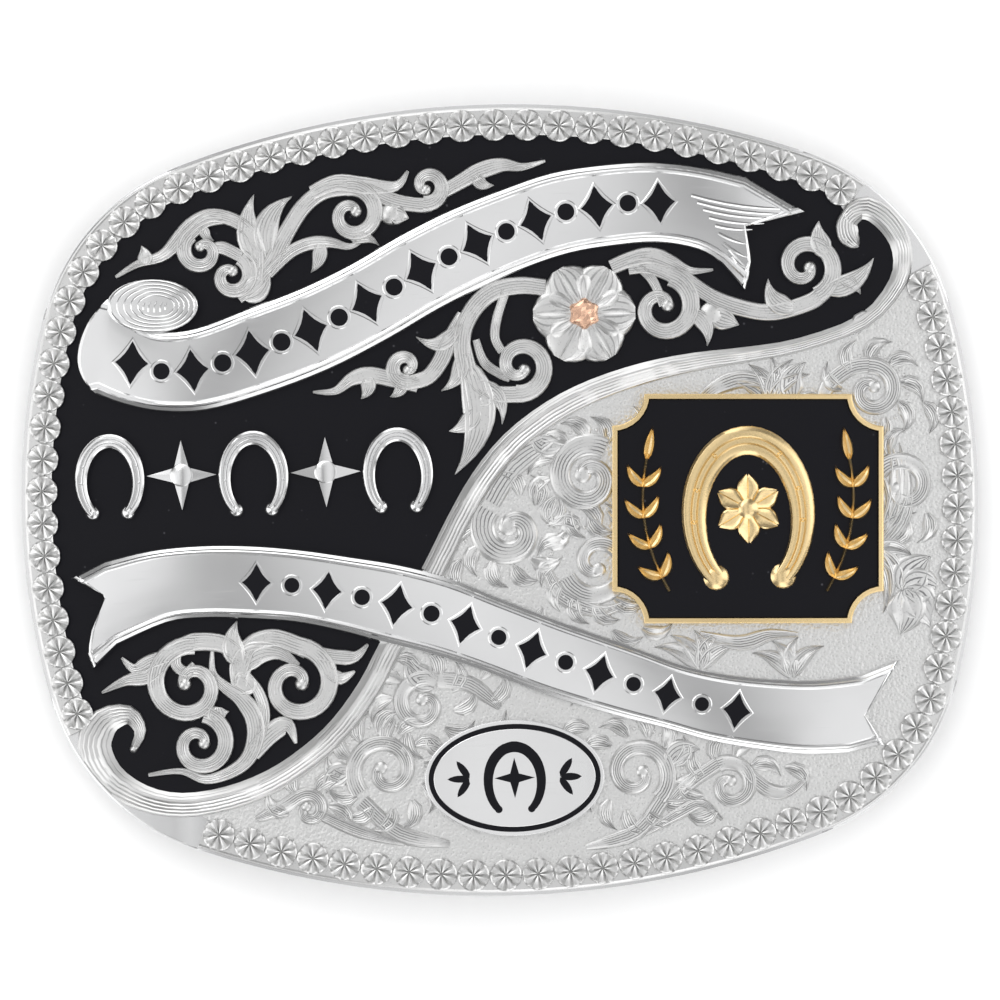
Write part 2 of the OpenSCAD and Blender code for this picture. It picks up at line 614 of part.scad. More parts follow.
// Enamel marks along a ribbon: lozenges with a small round between each two
function edge_steps(top, low) = [for (i = [1:len(top) - 1]) norm(top[i] + low[i] - top[i - 1] - low[i - 1]) / 2];
function edge_walk(top, low, steps, s, k = 0) =
    s > steps[k] && k < len(steps) - 1 ? edge_walk(top, low, steps, s - steps[k], k + 1)
    : [for (edge = [top, low]) edge[k] + (edge[k + 1] - edge[k]) * s / steps[k]];
function edge_spot(rows, t) =
    let (top = upper_edge(rows), low = lower_edge(rows), steps = edge_steps(top, low))
    edge_walk(top, low, steps, t * total(steps, len(steps)));
module marks_2d(rows, marks, grow = 0) {
    for (k = [0:marks[2] - 1]) {
        t = marks[0] + (marks[1] - marks[0]) * k / (marks[2] - 1);
        ends = edge_spot(rows, t);
        high = norm(ends[0] - ends[1]);
        across = unit(ends[0] - ends[1]);
        translate((ends[0] + ends[1]) / 2) rotate(atan2(across[1], across[0]) - 90)
            if (k % 2 == 0) lozenge_2d(high * mark_tall_share / 2, high * mark_wide_share / 2, grow);
            else circle(r = high * mark_round_share / 2 + grow, $fn = 24);
    }
}
module lozenge_2d(half_h, half_w, grow = 0) {
    w = half_w + grow * 1.4;
    h = half_h + grow * 1.4;
    polygon([[w, 0], [0, h], [-w, 0], [0, -h]]);
}
module oval_line_2d(grow = 0) {
    difference() {
        oval_2d(oval_margin - grow);
        oval_2d(oval_margin + oval_line_w + grow);
    }
}
// A stem with a pair of leaves at each step and one at its tip
module sprig_2d(root, tip, bow, pairs, leaf) {
    path = bowed(root, tip, bow, 2 * pairs + 1);
    last = len(path) - 1;
    stroke_2d(path, [for (i = [0:last]) leaf * 0.2]);
    for (i = [1:2:last - 1]) for (side = [-1, 1]) {
        out = along(path, i);
        reach = (0.75 * out + side * 0.62 * left_of(out)) * leaf;
        leaf_2d(path[i], path[i] + reach, side * 0.1, leaf * 0.42);
    }
    way = along(path, last) * leaf;
    leaf_2d(path[last] - way * 0.2, path[last] + way, 0, leaf * 0.45);
}
module oval_motif_2d(grow = 0) {
    h = oval_ry * 1.35;
    translate(on_face(OVAL_MID)) offset(delta = grow) {
        horseshoe_2d(h, h * 0.16);
        star_2d(h * 0.42, h * 0.08);
        for (x = [-1, 1]) for (turn = [-55, 0, 55]) {
            root = [x * oval_rx * 0.5, 0];
            leaf_2d(root, root + x * oval_rx * 0.3 * [cos(turn), sin(turn)], 0, oval_ry * 0.2);
        }
    }
}
module emblem_motif_2d(grow = 0) {
    h = emblem_h * 0.7;
    translate(on_face(EMBLEM_MID)) rotate(-sheet_turn) offset(delta = grow) {
        horseshoe_2d(h, h * 0.15);
        for (a = [0:60:300]) rotate(a) translate([h * 0.11, 0]) circle(r = h * 0.065, $fn = 20);
        circle(r = h * 0.08, $fn = 20);
        for (x = [-1, 1]) {
            root = [x * emblem_w * 0.29, -emblem_h * 0.36];
            tip = [x * emblem_w * 0.37, emblem_h * 0.24];
            sprig_2d(root, tip, -0.1 * x, 4, emblem_h * 0.12);
        }
    }
}

// Closes hairline cracks in an outline, drops hairline spikes and leaves its size as it was
module tidy_2d() {
    offset(delta = HAIRLINE) offset(delta = -2 * HAIRLINE) offset(delta = HAIRLINE) children();
}
// A bent layer of the face, from one height above the plate to another, cut to a flat outline. The smooth one
// is for the plates, and the one in narrow flats across the width for sawn, engraved and enamelled layers.
module bent_block(height) {
    translate([0, buckle_h, axis_z]) rotate([90, 0, 0])
        cylinder(r = bend_r + height, h = 2 * buckle_h, $fn = 180);
}
module smooth_layer(low, high) {
    difference() {
        intersection() {
            bent_block(high);
            translate([0, 0, -1]) linear_extrude(face_z + REACH) children();
        }
        bent_block(low);
    }
}
function bent_line(height) = [
    for (i = [-FLATS:FLATS])
        let (x = i * buckle_w / (2 * FLATS - 2))
        [x, axis_z + sqrt(pow(bend_r + height, 2) - x * x)]
];
module layer(low, high) {
    intersection() {
        translate([0, buckle_h, 0]) rotate([90, 0, 0]) linear_extrude(2 * buckle_h)
            polygon(concat(bent_line(high), back_to_front(bent_line(low))));
        translate([0, 0, -1]) linear_extrude(face_z + REACH) children();
    }
}

module base_plate() {
    color("silver") smooth_layer(-plate_t, 0) rim_2d(0);
}
module star_cut_run(first, last) {
    color("gainsboro") union() {
        layer(seat_gap, ring_t) tidy_2d() ring_run_2d(first, last);
        layer((seat_gap + ring_t) / 2, round_t) tidy_2d() difference() {
            rounds_2d(first, last, -side_gap);
            offset(delta = side_gap) band_2d();
        }
    }
}
module black_field() {
    color("black") layer(seat_gap, enamel_top) tidy_2d() difference() {
        field_2d(side_gap);
        panel_side_2d();
        bare_corners_2d();
        offset(delta = side_gap) band_2d();
        offset(delta = side_gap) overlays_2d();
    }
}
module panel_ground_2d() {
    difference() {
        intersection() {
            panel_field_2d(side_gap);
            panel_side_2d();
        }
        bare_corners_2d();
        offset(delta = side_gap) band_2d();
        offset(delta = side_gap) overlays_2d();
    }
}
module engraved_panel() {
    color("gainsboro") union() {
        layer(seat_gap, seat_gap + panel_t) tidy_2d() panel_ground_2d();
        layer(seat_gap + panel_t / 2, seat_gap + panel_t + relief_t) tidy_2d() intersection() {
            offset(delta = -side_gap) panel_ground_2d();
            spray_2d(PANEL_VINES, PANEL_VOLUTES, PANEL_LEAVES, PANEL_BUDS, relief_stem_w);
        }
    }
}
// The band is in two pieces, above and below the lower ribbon
module band_piece_2d(upper) {
    split_y = on_face(BAND_SPLIT)[1];
    intersection() {
        difference() {
            intersection() {
                band_2d();
                rim_2d(ring_margin);
            }
            offset(delta = side_gap) overlays_2d();
        }
        translate([-buckle_w, upper ? split_y : split_y - buckle_h]) square([2 * buckle_w, buckle_h]);
    }
}
module dividing_band(upper) {
    color("silver") layer(seat_gap, band_t) tidy_2d() band_piece_2d(upper);
}
module ribbon_body(rows, marks) {
    difference() {
        layer(seat_gap, ribbon_t) tidy_2d() intersection() {
            children();
            field_2d(side_gap);
        }
        layer(ribbon_t - pocket_t, ribbon_t + 1) marks_2d(rows, marks, side_gap / 2);
    }
}
module upper_ribbon() {
    color("silver") ribbon_body(UPPER_RIBBON, UPPER_MARKS) upper_ribbon_2d();
}
module lower_ribbon() {
    color("silver") ribbon_body(LOWER_RIBBON, LOWER_MARKS) lower_ribbon_2d();
}
module ribbon_enamel(rows, marks) {
    color("black") layer(ribbon_t - pocket_t + seat_gap, ribbon_t) marks_2d(rows, marks, -side_gap / 2);
}
module scroll_overlay(vines, volutes, leaves, buds) {
    color("silver") layer(overlay_low, overlay_low + scroll_t) tidy_2d() difference() {
        intersection() {
            spray_2d(vines, volutes, leaves, buds, stem_w);
            field_2d(side_gap);
        }
        offset(delta = side_gap) union() {
            overlays_2d();
            band_2d();
            blossom_2d();
        }
    }
}
module scroll_top() {
    scroll_overlay(TOP_VINES, TOP_VOLUTES, TOP_LEAVES, TOP_BUDS);
}
module scroll_centre_left() {
    scroll_overlay(LEFT_VINES, LEFT_VOLUTES, LEFT_LEAVES, LEFT_BUDS);
}
module scroll_centre_right() {
    scroll_overlay(RIGHT_VINES, RIGHT_VOLUTES, RIGHT_LEAVES, RIGHT_BUDS);
}
module scroll_lower() {
    scroll_overlay(LOWER_VINES, LOWER_VOLUTES, LOWER_LEAVES, LOWER_BUDS);
}
module blossom() {
    color("silver") difference() {
        layer(overlay_low, overlay_low + blossom_t) tidy_2d() difference() {
            blossom_2d();
            offset(delta = side_gap) overlays_2d();
        }
        layer(overlay_low + blossom_t / 2, overlay_low + blossom_t + 1) tidy_2d() blossom_centre_2d(side_gap);
    }
}
module blossom_centre() {
    low = overlay_low + blossom_t / 2;
    color("peru") layer(low + seat_gap, low + blossom_t) tidy_2d() blossom_centre_2d();
}
module raised_motif(i) {
    color("silver") layer(overlay_low, overlay_low + motif_t) tidy_2d() motif_2d(i);
}
emblem_floor_top = seat_gap + emblem_floor_t;
module emblem_plaque() {
    color("gold") difference() {
        smooth_layer(seat_gap, emblem_floor_top + emblem_rim_t) emblem_2d(0);
        smooth_layer(emblem_floor_top, emblem_floor_top + emblem_rim_t + 1) emblem_2d(emblem_rim_w);
    }
}
module emblem_enamel() {
    low = emblem_floor_top;
    color("black") layer(low + seat_gap, low + emblem_enamel_t) tidy_2d() difference() {
        emblem_2d(emblem_rim_w + side_gap);
        emblem_motif_2d(side_gap);
    }
}
module emblem_motif() {
    low = emblem_floor_top;
    color("gold") layer(low + seat_gap, low + emblem_motif_t) tidy_2d() emblem_motif_2d();
}
module oval_plaque() {
    color("silver") difference() {
        smooth_layer(seat_gap, oval_t) oval_2d(0);
        layer(oval_t - pocket_t, oval_t + 1) oval_line_2d(side_gap / 2);
        layer(oval_t - pocket_t, oval_t + 1) tidy_2d() oval_motif_2d(side_gap / 2);
    }
}
module oval_line() {
    color("black") layer(oval_t - pocket_t + seat_gap, oval_t) oval_line_2d(-side_gap / 2);
}
module oval_motif() {
    color("black") layer(oval_t - pocket_t + seat_gap, oval_t) tidy_2d() oval_motif_2d(-side_gap / 2);
}

// The back: a wire loop that the strap's end folds round, and a post that hooks into the strap's holes.
// Both stand on round feet that are soldered to the hollow back of the plate.
module up_to_back() {
    intersection() {
        children();
        translate([0, buckle_h, axis_z]) rotate([90, 0, 0])
            cylinder(r = bend_r - plate_t - seat_gap, h = 2 * buckle_h, $fn = 180);
    }
}
module back_foot(x, y) {
    back_z = axis_z + sqrt(pow(bend_r - plate_t, 2) - pow(abs(x) + foot_d / 2, 2));
    translate([x, y, back_z - foot_t]) cylinder(d = foot_d, h = foot_t + foot_d, $fn = 48);
}
module belt_loop() {
    mid = wire_d / 2;
    far = loop_gap / 2 + mid;
    side = strap_w / 2 + mid;
    leg_y = side - loop_corner_r - mid;
    color("darkgray") union() {
        translate([-loop_x, 0, mid]) {
            for (y = [-1, 1]) translate([0, y * side, 0]) rotate([0, 90, 0])
                cylinder(d = wire_d, h = 2 * (far - loop_corner_r), center = true, $fn = 32);
            for (x = [-1, 1]) translate([x * far, 0, 0]) rotate([90, 0, 0])
                cylinder(d = wire_d, h = 2 * (side - loop_corner_r), center = true, $fn = 32);
            for (x = [0, 1]) for (y = [0, 1]) mirror([x, 0, 0]) mirror([0, y, 0])
                translate([far - loop_corner_r, side - loop_corner_r, 0])
                    rotate_extrude(angle = 90, $fn = 64)
                        translate([loop_corner_r, 0]) circle(d = wire_d, $fn = 32);
        }
        up_to_back() for (y = [-1, 1]) {
            translate([far - loop_x, y * leg_y, mid]) cylinder(d = wire_d, h = back_rise, $fn = 32);
            back_foot(far - loop_x, y * leg_y);
        }
    }
}
module hook_post() {
    color("darkgray") up_to_back() {
        translate([hook_x, 0, hook_d / 2]) {
            sphere(d = hook_d, $fn = 48);
            cylinder(d = hook_d, h = back_rise, $fn = 48);
        }
        back_foot(hook_x, 0);
    }
}

base_plate();
star_cut_run(upper_first, upper_last);  // star_cut_edge_upper
star_cut_run(lower_first, lower_last);  // star_cut_edge_lower
black_field();
engraved_panel();
dividing_band(true);  // dividing_band_upper
dividing_band(false);  // dividing_band_lower
upper_ribbon();
ribbon_enamel(UPPER_RIBBON, UPPER_MARKS);  // upper_ribbon_enamel
lower_ribbon();
ribbon_enamel(LOWER_RIBBON, LOWER_MARKS);  // lower_ribbon_enamel
scroll_top();
scroll_centre_left();
scroll_centre_right();
scroll_lower();
blossom();
blossom_centre();
raised_motif(0);  // raised_motif_1
raised_motif(1);  // raised_motif_2
raised_motif(2);  // raised_motif_3
raised_motif(3);  // raised_motif_4
raised_motif(4);  // raised_motif_5
emblem_plaque();
emblem_enamel();
emblem_motif();
oval_plaque();
oval_line();
oval_motif();
belt_loop();
hook_post();
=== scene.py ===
"""Western trophy buckle: the finished look of every piece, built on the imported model."""

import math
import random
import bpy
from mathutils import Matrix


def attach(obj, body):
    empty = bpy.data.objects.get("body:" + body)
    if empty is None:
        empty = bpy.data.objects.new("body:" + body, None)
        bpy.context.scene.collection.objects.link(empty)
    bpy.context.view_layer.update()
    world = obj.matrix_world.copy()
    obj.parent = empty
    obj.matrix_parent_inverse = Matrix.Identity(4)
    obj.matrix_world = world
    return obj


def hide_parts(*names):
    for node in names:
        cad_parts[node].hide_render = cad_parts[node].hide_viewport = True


bl_info = {
    "name": "Western Trophy Buckle",
    "version": (1, 0, 0),
    "blender": (4, 5, 0),
    "location": "View3D > Sidebar > Buckle",
    "description": "Builds a western trophy buckle with enamel, engraving, ribbons and a star-cut edge",
    "category": "Object",
}

import bmesh
import bpy
from mathutils import Vector

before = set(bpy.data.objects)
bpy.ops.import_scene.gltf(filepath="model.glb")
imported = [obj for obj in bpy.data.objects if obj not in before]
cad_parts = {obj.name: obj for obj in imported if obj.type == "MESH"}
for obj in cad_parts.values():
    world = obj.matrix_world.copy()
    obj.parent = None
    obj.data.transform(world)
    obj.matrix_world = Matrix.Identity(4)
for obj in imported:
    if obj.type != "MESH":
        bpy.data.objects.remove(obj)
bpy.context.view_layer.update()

# The face is laid out on a sheet of 1000 by 1000 squares, x to the right and y down. The buckle covers
# SHEET_W by SHEET_H of them round SHEET_MID and lies turned on the sheet by SHEET_TURN degrees.
SHEET_W = 959.8
SHEET_H = 787.7
SHEET_MID = (499.9, 499.5)
SHEET_TURN = 1.35

# The upper ribbon's sections from its roll to its tail. Columns: upper edge x, y, lower edge x, y.
UPPER_RIBBON = [
    [108, 298, 96, 394], [130, 318, 124, 404], [158, 331, 160, 411], [196, 328, 206, 410],
    [250, 308, 264, 394], [300, 289, 328, 370], [350, 265, 387, 340], [400, 236, 440, 309],
    [450, 211, 490, 284], [500, 191, 530, 267], [550, 174, 570, 254], [600, 166, 610, 247],
    [650, 163, 656, 243], [700, 168, 698, 250], [746, 178, 722, 264]
]
# Points round the upper ribbon's left end, from its upper edge to its lower edge
UPPER_START = [[108, 298], [90, 317], [79, 340], [76, 362], [83, 381], [96, 394]]
# Tail points of the upper ribbon: upper tip, notch, bulge and lower tip
UPPER_TAIL = [[806, 213], [746, 227], [752, 262], [746, 291]]
# Middle and half sizes of the upper ribbon's rolled end
UPPER_ROLL = [[152, 306], [46, 27]]
# The lower ribbon's sections from left to right, with the same columns
LOWER_RIBBON = [
    [104, 561, 116, 644], [150, 550, 166, 622], [200, 545, 206, 617], [250, 545, 250, 618],
    [300, 549, 295, 621], [350, 556, 341, 630], [400, 564, 386, 642], [450, 577, 430, 653],
    [500, 597, 478, 668], [560, 620, 536, 690], [600, 634, 580, 704], [640, 648, 622, 716],
    [680, 663, 666, 727], [720, 672, 708, 739], [762, 677, 752, 747], [815, 679, 802, 753],
    [862, 674, 848, 752]
]
# Tail points at the left and right: upper tip, notch, bulge and lower tip
LOWER_LEFT_TAIL = [[71, 578], [105, 596], [90, 630], [86, 651], [92, 668]]
LOWER_RIGHT_TAIL = [[901, 659], [866, 714], [886, 743]]

# The dividing band's middle line, from its upper volute to its lower one
BAND_LINE = [
    [846, 240], [848, 217], [868, 208], [890, 224], [903, 250], [898, 283], [864, 321], [800, 345],
    [745, 355], [695, 362], [645, 373], [595, 390], [552, 412], [512, 443], [482, 480], [459, 520],
    [439, 560], [418, 600], [390, 648], [370, 686], [342, 725], [310, 755], [272, 780], [228, 797],
    [182, 804], [142, 797], [108, 776], [93, 746], [104, 721], [128, 714], [140, 730], [133, 748]
]
# Share of the band's full width at its two ends, in the thin stretch under the upper ribbon and where the
# lower volute turns up
BAND_TIP = 0.3
BAND_THIN = 0.6
BAND_SWELL = 1.45
# Where the band is thin and where it swells: place and length of the stretch, as shares of the band's length
BAND_THIN_AT = (0.22, 0.09)
BAND_SWELL_AT = (0.87, 0.05)
# Steps of the band's curve from one point of its line to the next, and the stretches of that curve which the
# panel and the enamel follow
BAND_STEPS = 3
PANEL_SPAN = slice(12, 73)
ENAMEL_SPAN = slice(3, 84)
# Where the panel and the enamel begin and end on the rim. The plate stays bare outside the band's volutes,
# between an end of the one and the start of the other.
PANEL_ENDS = [[165, 880], [935, 262]]
ENAMEL_ENDS = [[838, 196], [66, 712]]

# Scrolls are drawn as strokes. Widths are shares of a stem's width.
# Vine columns: width, share at the root, share at the tip, points of the middle line.
# Volute columns: centre, first radius, last radius, start angle, sweep, width.
# Leaf columns: root, tip, bow as a share of the length to the left, width.
# Bud columns: centre, radius in squares, tip.
TOP_VINES = [
    [0.9, 0.2, 0.8, [[115, 277], [137, 264], [165, 254], [190, 226], [214, 216], [243, 226], [257, 250],
                     [257, 281]]],
    [0.9, 1, 0.9, [[224, 217], [205, 221], [189, 235]]],
    [0.8, 0.6, 0.9, [[213, 247], [225, 249], [241, 257]]],
    [1, 0.8, 1, [[238, 298], [256, 284], [272, 262], [284, 238], [303, 208], [324, 192], [349, 188]]],
    [0.8, 0.9, 0.15, [[268, 274], [290, 253], [310, 244], [330, 243], [350, 247], [368, 238]]],
    [1.1, 0.8, 0.15, [[312, 194], [336, 184], [366, 187], [396, 187], [408, 172]]],
    [0.9, 0.8, 1, [[366, 189], [392, 201], [418, 206], [431, 205]]],
    [1, 0.8, 0.15, [[441, 194], [462, 182], [480, 172], [502, 166], [522, 168], [545, 162]]]
]
TOP_VOLUTES = [
    [[202, 251], 20, 5, 128, 345, 0.9],
    [[231, 276], 21, 5, 62, -345, 0.95],
    [[352, 215], 27, 5, 100, -420, 0.95],
    [[427, 187], 18, 4, -102, 350, 0.9]
]
TOP_LEAVES = [
    [[144, 265], [141, 246], -0.1, 0.8], [[204, 226], [214, 241], -0.2, 0.6],
    [[264, 264], [254, 195], 0.16, 1.3], [[268, 256], [292, 197], 0.2, 1.3],
    [[320, 243], [311, 273], 0.12, 0.8], [[352, 242], [379, 246], 0.2, 0.6],
    [[474, 176], [494, 186], -0.2, 0.7], [[242, 296], [268, 268], -0.15, 1.4]
]
TOP_BUDS = [[[391, 214], 12, [409, 219]]]

LEFT_VINES = [
    [1.1, 0.9, 0.9, [[545, 288], [520, 286], [495, 291], [476, 306], [464, 328], [462, 350], [466, 376]]],
    [1, 0.6, 0.9, [[462, 314], [449, 340], [441, 360], [428, 377], [409, 383]]],
    [1, 0.8, 0.15, [[418, 386], [394, 380], [370, 375], [352, 379], [335, 391], [313, 392]]],
    [1, 0.8, 1, [[463, 342], [472, 376], [493, 393], [523, 394]]],
    [0.6, 0.7, 0.9, [[476, 340], [484, 362], [500, 374], [510, 378]]],
    [0.6, 0.9, 0.9, [[506, 291], [497, 318], [495, 338], [502, 352]]]
]
LEFT_VOLUTES = [
    [[406, 367], 16, 4, -76, -340, 0.9],
    [[520, 366], 28, 6, -98, 410, 1]
]
LEFT_LEAVES = [
    [[368, 377], [361, 399], 0.15, 0.8], [[457, 326], [416, 337], 0.3, 0.9],
    [[460, 352], [441, 391], 0.2, 0.9], [[465, 362], [455, 474], 0.17, 1.7],
    [[477, 408], [449, 431], 0.15, 1], [[474, 384], [502, 424], 0.25, 0.9],
    [[404, 380], [390, 397], 0.15, 0.7], [[492, 392], [474, 404], 0.1, 0.8]
]

RIGHT_VINES = [
    [1, 0.9, 0.15, [[611, 268], [630, 260], [650, 256], [670, 262], [690, 271], [713, 270]]],
    [1, 0.9, 1, [[628, 268], [648, 266], [668, 273], [677, 279]]],
    [0.6, 0.8, 0.9, [[636, 266], [650, 278], [658, 292], [663, 306]]],
    [1, 0.8, 1, [[682, 276], [712, 297], [745, 309], [775, 312], [810, 302], [823, 292]]]
]
RIGHT_VOLUTES = [
    [[662, 308], 32, 6, 74, -405, 1.05],
    [[805, 267], 31, 5, -66, 415, 1]
]
RIGHT_LEAVES = [
    [[828, 256], [819, 221], 0.12, 1.1], [[824, 290], [874, 258], -0.14, 1.1],
    [[840, 280], [861, 294], 0.15, 0.7], [[796, 308], [768, 279], 0.25, 1.1],
    [[690, 312], [707, 346], 0.2, 0.9]
]
RIGHT_BUDS = [[[712, 315], 14, [739, 325]]]

LOWER_VINES = [
    [1.1, 0.8, 1, [[243, 657], [222, 643], [196, 641], [184, 645]]],
    [0.9, 0.9, 0.15, [[162, 664], [146, 676], [125, 680], [101, 692]]],
    [0.9, 0.9, 0.15, [[170, 654], [150, 661], [134, 668], [121, 657]]],
    [0.7, 0.8, 0.8, [[177, 650], [176, 664], [186, 671], [195, 664]]],
    [1.1, 0.2, 0.2, [[212, 650], [213, 672], [225, 686], [241, 697], [253, 714], [256, 735], [248, 757],
                     [230, 771], [205, 778], [180, 770], [148, 774]]],
    [1.6, 0.6, 0.15, [[240, 686], [241, 665], [254, 653], [277, 651], [299, 664]]],
    [1.1, 0.8, 1, [[240, 672], [249, 646], [272, 637], [297, 644], [308, 649]]],
    [0.9, 0.9, 0.15, [[318, 652], [338, 656], [356, 655], [368, 643]]],
    [0.8, 0.9, 0.15, [[328, 670], [341, 677], [355, 670]]],
    [0.7, 0.8, 0.8, [[244, 672], [258, 690], [265, 715], [258, 742]]],
    [1.2, 0.9, 0.15, [[252, 752], [272, 731], [288, 724], [296, 742]]]
]
LOWER_VOLUTES = [
    [[190, 684], 40, 6, 84, 445, 1.05],
    [[296, 683], 38, 6, 84, -440, 1.05],
    [[199, 743], 30, 5, 80, -430, 0.95]
]
LOWER_LEAVES = [
    [[241, 664], [237, 620], 0.15, 1.2], [[218, 706], [224, 722], -0.15, 1.2],
    [[250, 674], [232, 690], 0.1, 1.4]
]

PANEL_VINES = [
    [1.6, 0.5, 1, [[552, 437], [512, 464], [488, 500]]],
    [1, 0.5, 0.3, [[545, 566], [562, 595], [600, 610], [632, 600]]],
    [1.1, 0.5, 0.3, [[690, 410], [715, 388], [743, 379], [773, 386], [797, 408]]],
    [1, 0.5, 1, [[818, 414], [828, 386], [850, 368], [870, 364]]],
    [1, 0.5, 0.3, [[700, 634], [740, 642], [770, 634], [798, 634]]],
    [1, 0.4, 1, [[500, 706], [470, 683], [438, 679]]],
    [1, 0.4, 1, [[450, 842], [400, 832], [362, 800]]],
    [0.9, 0.4, 1, [[256, 818], [282, 806], [299, 795]]],
    [0.8, 0.8, 0.3, [[318, 812], [360, 830], [404, 842]]],
    [1, 0.4, 1, [[586, 845], [636, 830], [662, 798]]],
    [0.9, 0.4, 1, [[668, 802], [689, 782], [718, 762]]],
    [0.9, 0.8, 0.2, [[744, 768], [767, 788], [788, 790], [810, 774]]],
    [0.8, 0.4, 0.3, [[644, 832], [678, 812], [702, 802], [722, 818]]]
]
PANEL_VOLUTES = [
    [[511, 529], 31, 5, 140, 350, 1.5],
    [[588, 477], 34, 6, 60, 450, 1.3],
    [[597, 563], 34, 6, 205, 440, 1.1],
    [[872, 390], 25, 5, 96, -400, 1],
    [[904, 486], 31, 9, 212, -380, 1.1],
    [[423, 703], 27, 5, 60, 400, 1],
    [[386, 769], 34, 6, 220, -430, 1],
    [[309, 808], 16, 4, 130, -360, 0.8],
    [[637, 772], 33, 6, -48, 430, 1],
    [[730, 784], 24, 5, 120, -400, 0.9]
]
PANEL_LEAVES = [
    [[792, 400], [806, 362], 0.2, 1.4], [[800, 412], [822, 396], 0.2, 1],
    [[436, 682], [408, 652], 0.2, 1.5], [[350, 770], [326, 792], -0.2, 1.4],
    [[668, 762], [700, 748], 0.2, 1.3], [[560, 445], [530, 430], 0.2, 1.3],
    [[905, 590], [932, 556], 0.1, 2.2], [[905, 590], [944, 590], 0.1, 2.2],
    [[905, 590], [934, 628], 0.1, 2.2], [[905, 590], [900, 634], 0.1, 2.2]
]

# Middles of the blossom, the gold plaque and the oval plaque
BLOSSOM_MID = [584, 314]
EMBLEM_MID = [748, 508]
OVAL_MID = [514.5, 776]
# Middles of the first and last raised motif and how many stand in the row
MOTIF_ROW = [[109, 476.5], [398, 470], 5]
# Stretches of the ribbons that carry enamel marks, as shares of their length, and how many marks
UPPER_MARKS = [0.05, 0.885, 19]
LOWER_MARKS = [0.195, 0.845, 15]

PETALS = 6
# Where the upper run of rounds starts, as a share of the way round, and how many are left out at each corner
RUN_START = 0.186
ROUNDS_LEFT_OUT = 3
# How far the rounds are moved on along the edge, as a share of their spacing
ROUND_SHIFT = 0.25
# How far the last round of a run may reach under the band, where it is cut away
ROUND_LAP = 0.9

# Raised bars on the tail of the upper ribbon, from root to tip
TAIL_BARS = [
    [[691, 196], [797, 209]], [[697, 203], [792, 214]], [[703, 210], [779, 218]], [[709, 218], [764, 224]],
    [[715, 226], [752, 230]], [[718, 234], [748, 245]], [[722, 243], [747, 258]], [[728, 251], [747, 269]],
    [[732, 257], [746, 280]]
]
# Rows of beads on the panel: middle, radius, start angle and sweep
BEAD_ROWS = [
    [[588, 478], 49, 50, 215], [[597, 563], 47, 160, 170], [[512, 532], 47, 190, -95],
    [[386, 769], 46, 60, 120], [[637, 772], 45, 120, -130], [[872, 390], 36, 120, -200]
]
# Spacing of the beads in squares of the sheet, and their radius in millimetres
BEAD_PITCH = 6.5
BEAD_RADIUS = 0.24

# The pointed end of the dividing band's upper volute, from its tip, and its widths as shares of the band's
BAND_HOOK = [[859, 247], [849, 236], [848, 221], [862, 211]]
HOOK_WIDTHS = [0.07, 0.33, 0.56, 0.7, 0.82, 0.9, 0.93, 0.93, 0.93, 0.9, 0.86, 0.82, 0.74, 0.67, 0.6, 0.52]

# Fans of leaves on the panel: root, then the tips
PANEL_FANS = [
    [
        [874, 548],
        [[868, 452], [884, 428], [900, 442], [911, 474], [917, 512], [914, 556], [903, 594], [884, 612]]
    ],
    [[770, 402], [[732, 382], [748, 364], [770, 355], [793, 359], [810, 374]]],
    [[700, 668], [[654, 646], [670, 634], [694, 629], [720, 632], [738, 644]]],
    [[792, 676], [[752, 652], [772, 640], [798, 636], [824, 645]]]
]
# The panel's small leaves in millimetres. Along a curl: distance from its outermost turn, pitch, length and
# width. In a fan: width. In the free ground: pitch of rows and of columns, how far a leaf is moved from its
# place, length and width, least distance from other leaves, and how near and far from a curl they stand.
CURL_GAP = 0.55
CURL_LEAF_PITCH = 2.3
CURL_LEAF = (3.5, 1.95)
FAN_LEAF_WIDTH = 2.1
FREE_ROWS = 2.7
FREE_COLUMNS = 3.1
FREE_SHIFT = 0.4
FREE_LEAF = (3.6, 1.85)
FREE_GAP = 1.45
FREE_REACH = (0.6, 4.6)
# How far a small leaf is bowed, and a leaf of a fan, as a share of the length
SMALL_BOW = 0.26
FAN_BOW = 0.15

# Widths in a scroll as shares of its stem's width: a leaf, a vine, the start of a volute and the volute's eye
LEAF_WIDTH = 1.5
VINE_WIDTH = 1.3
VOLUTE_WIDTH = 1.42
EYE_RADIUS = 0.52
# The share of its width that a volute loses on its way in
VOLUTE_TAPER = 0.42
# Width of a bud's point as a share of its radius
BUD_WIDTH = 1.7
# Difference in height between strokes that cross, in millimetres, so that none coincide
HAIR = 0.013
# Least width of a stroke in millimetres. Where a stroke is thin it is lower: the share of its height that is
# left with no width at all, and how fast that grows with the width.
LEAST_WIDTH = 0.08
THIN_HEIGHT = 0.45
THIN_GAIN = 0.8
# Shift in millimetres that keeps the cuts for the bend off the points of an outline
OFF_POINTS = 0.0137

# Distances from the ring's inner edge in millimetres: grounds reach under it, ribbons and scrolls stay off it
# a little, and the panel's stems and small leaves more
UNDER_RING = -0.1
OFF_RING = 0.15
STEMS_OFF_RING = 0.9
LEAVES_OFF_RING = 1.1

# Half height and half width of a lozenge mark and radius of a round one, as shares of the ribbon's width
LOZENGE = (0.26, 0.19)
ROUND_MARK = 0.1
# How far a mark's rim and its enamel are larger than the mark, in millimetres
MARK_RIM = 0.42
MARK_LAP = 0.03
# The turns of the upper ribbon's roll: share of its size, shift to the right in squares, width
ROLL_TURNS = [(0.93, 0, 0.42), (0.79, 1, 0.4), (0.66, 2, 0.38), (0.53, 3, 0.36), (0.4, 4, 0.34)]
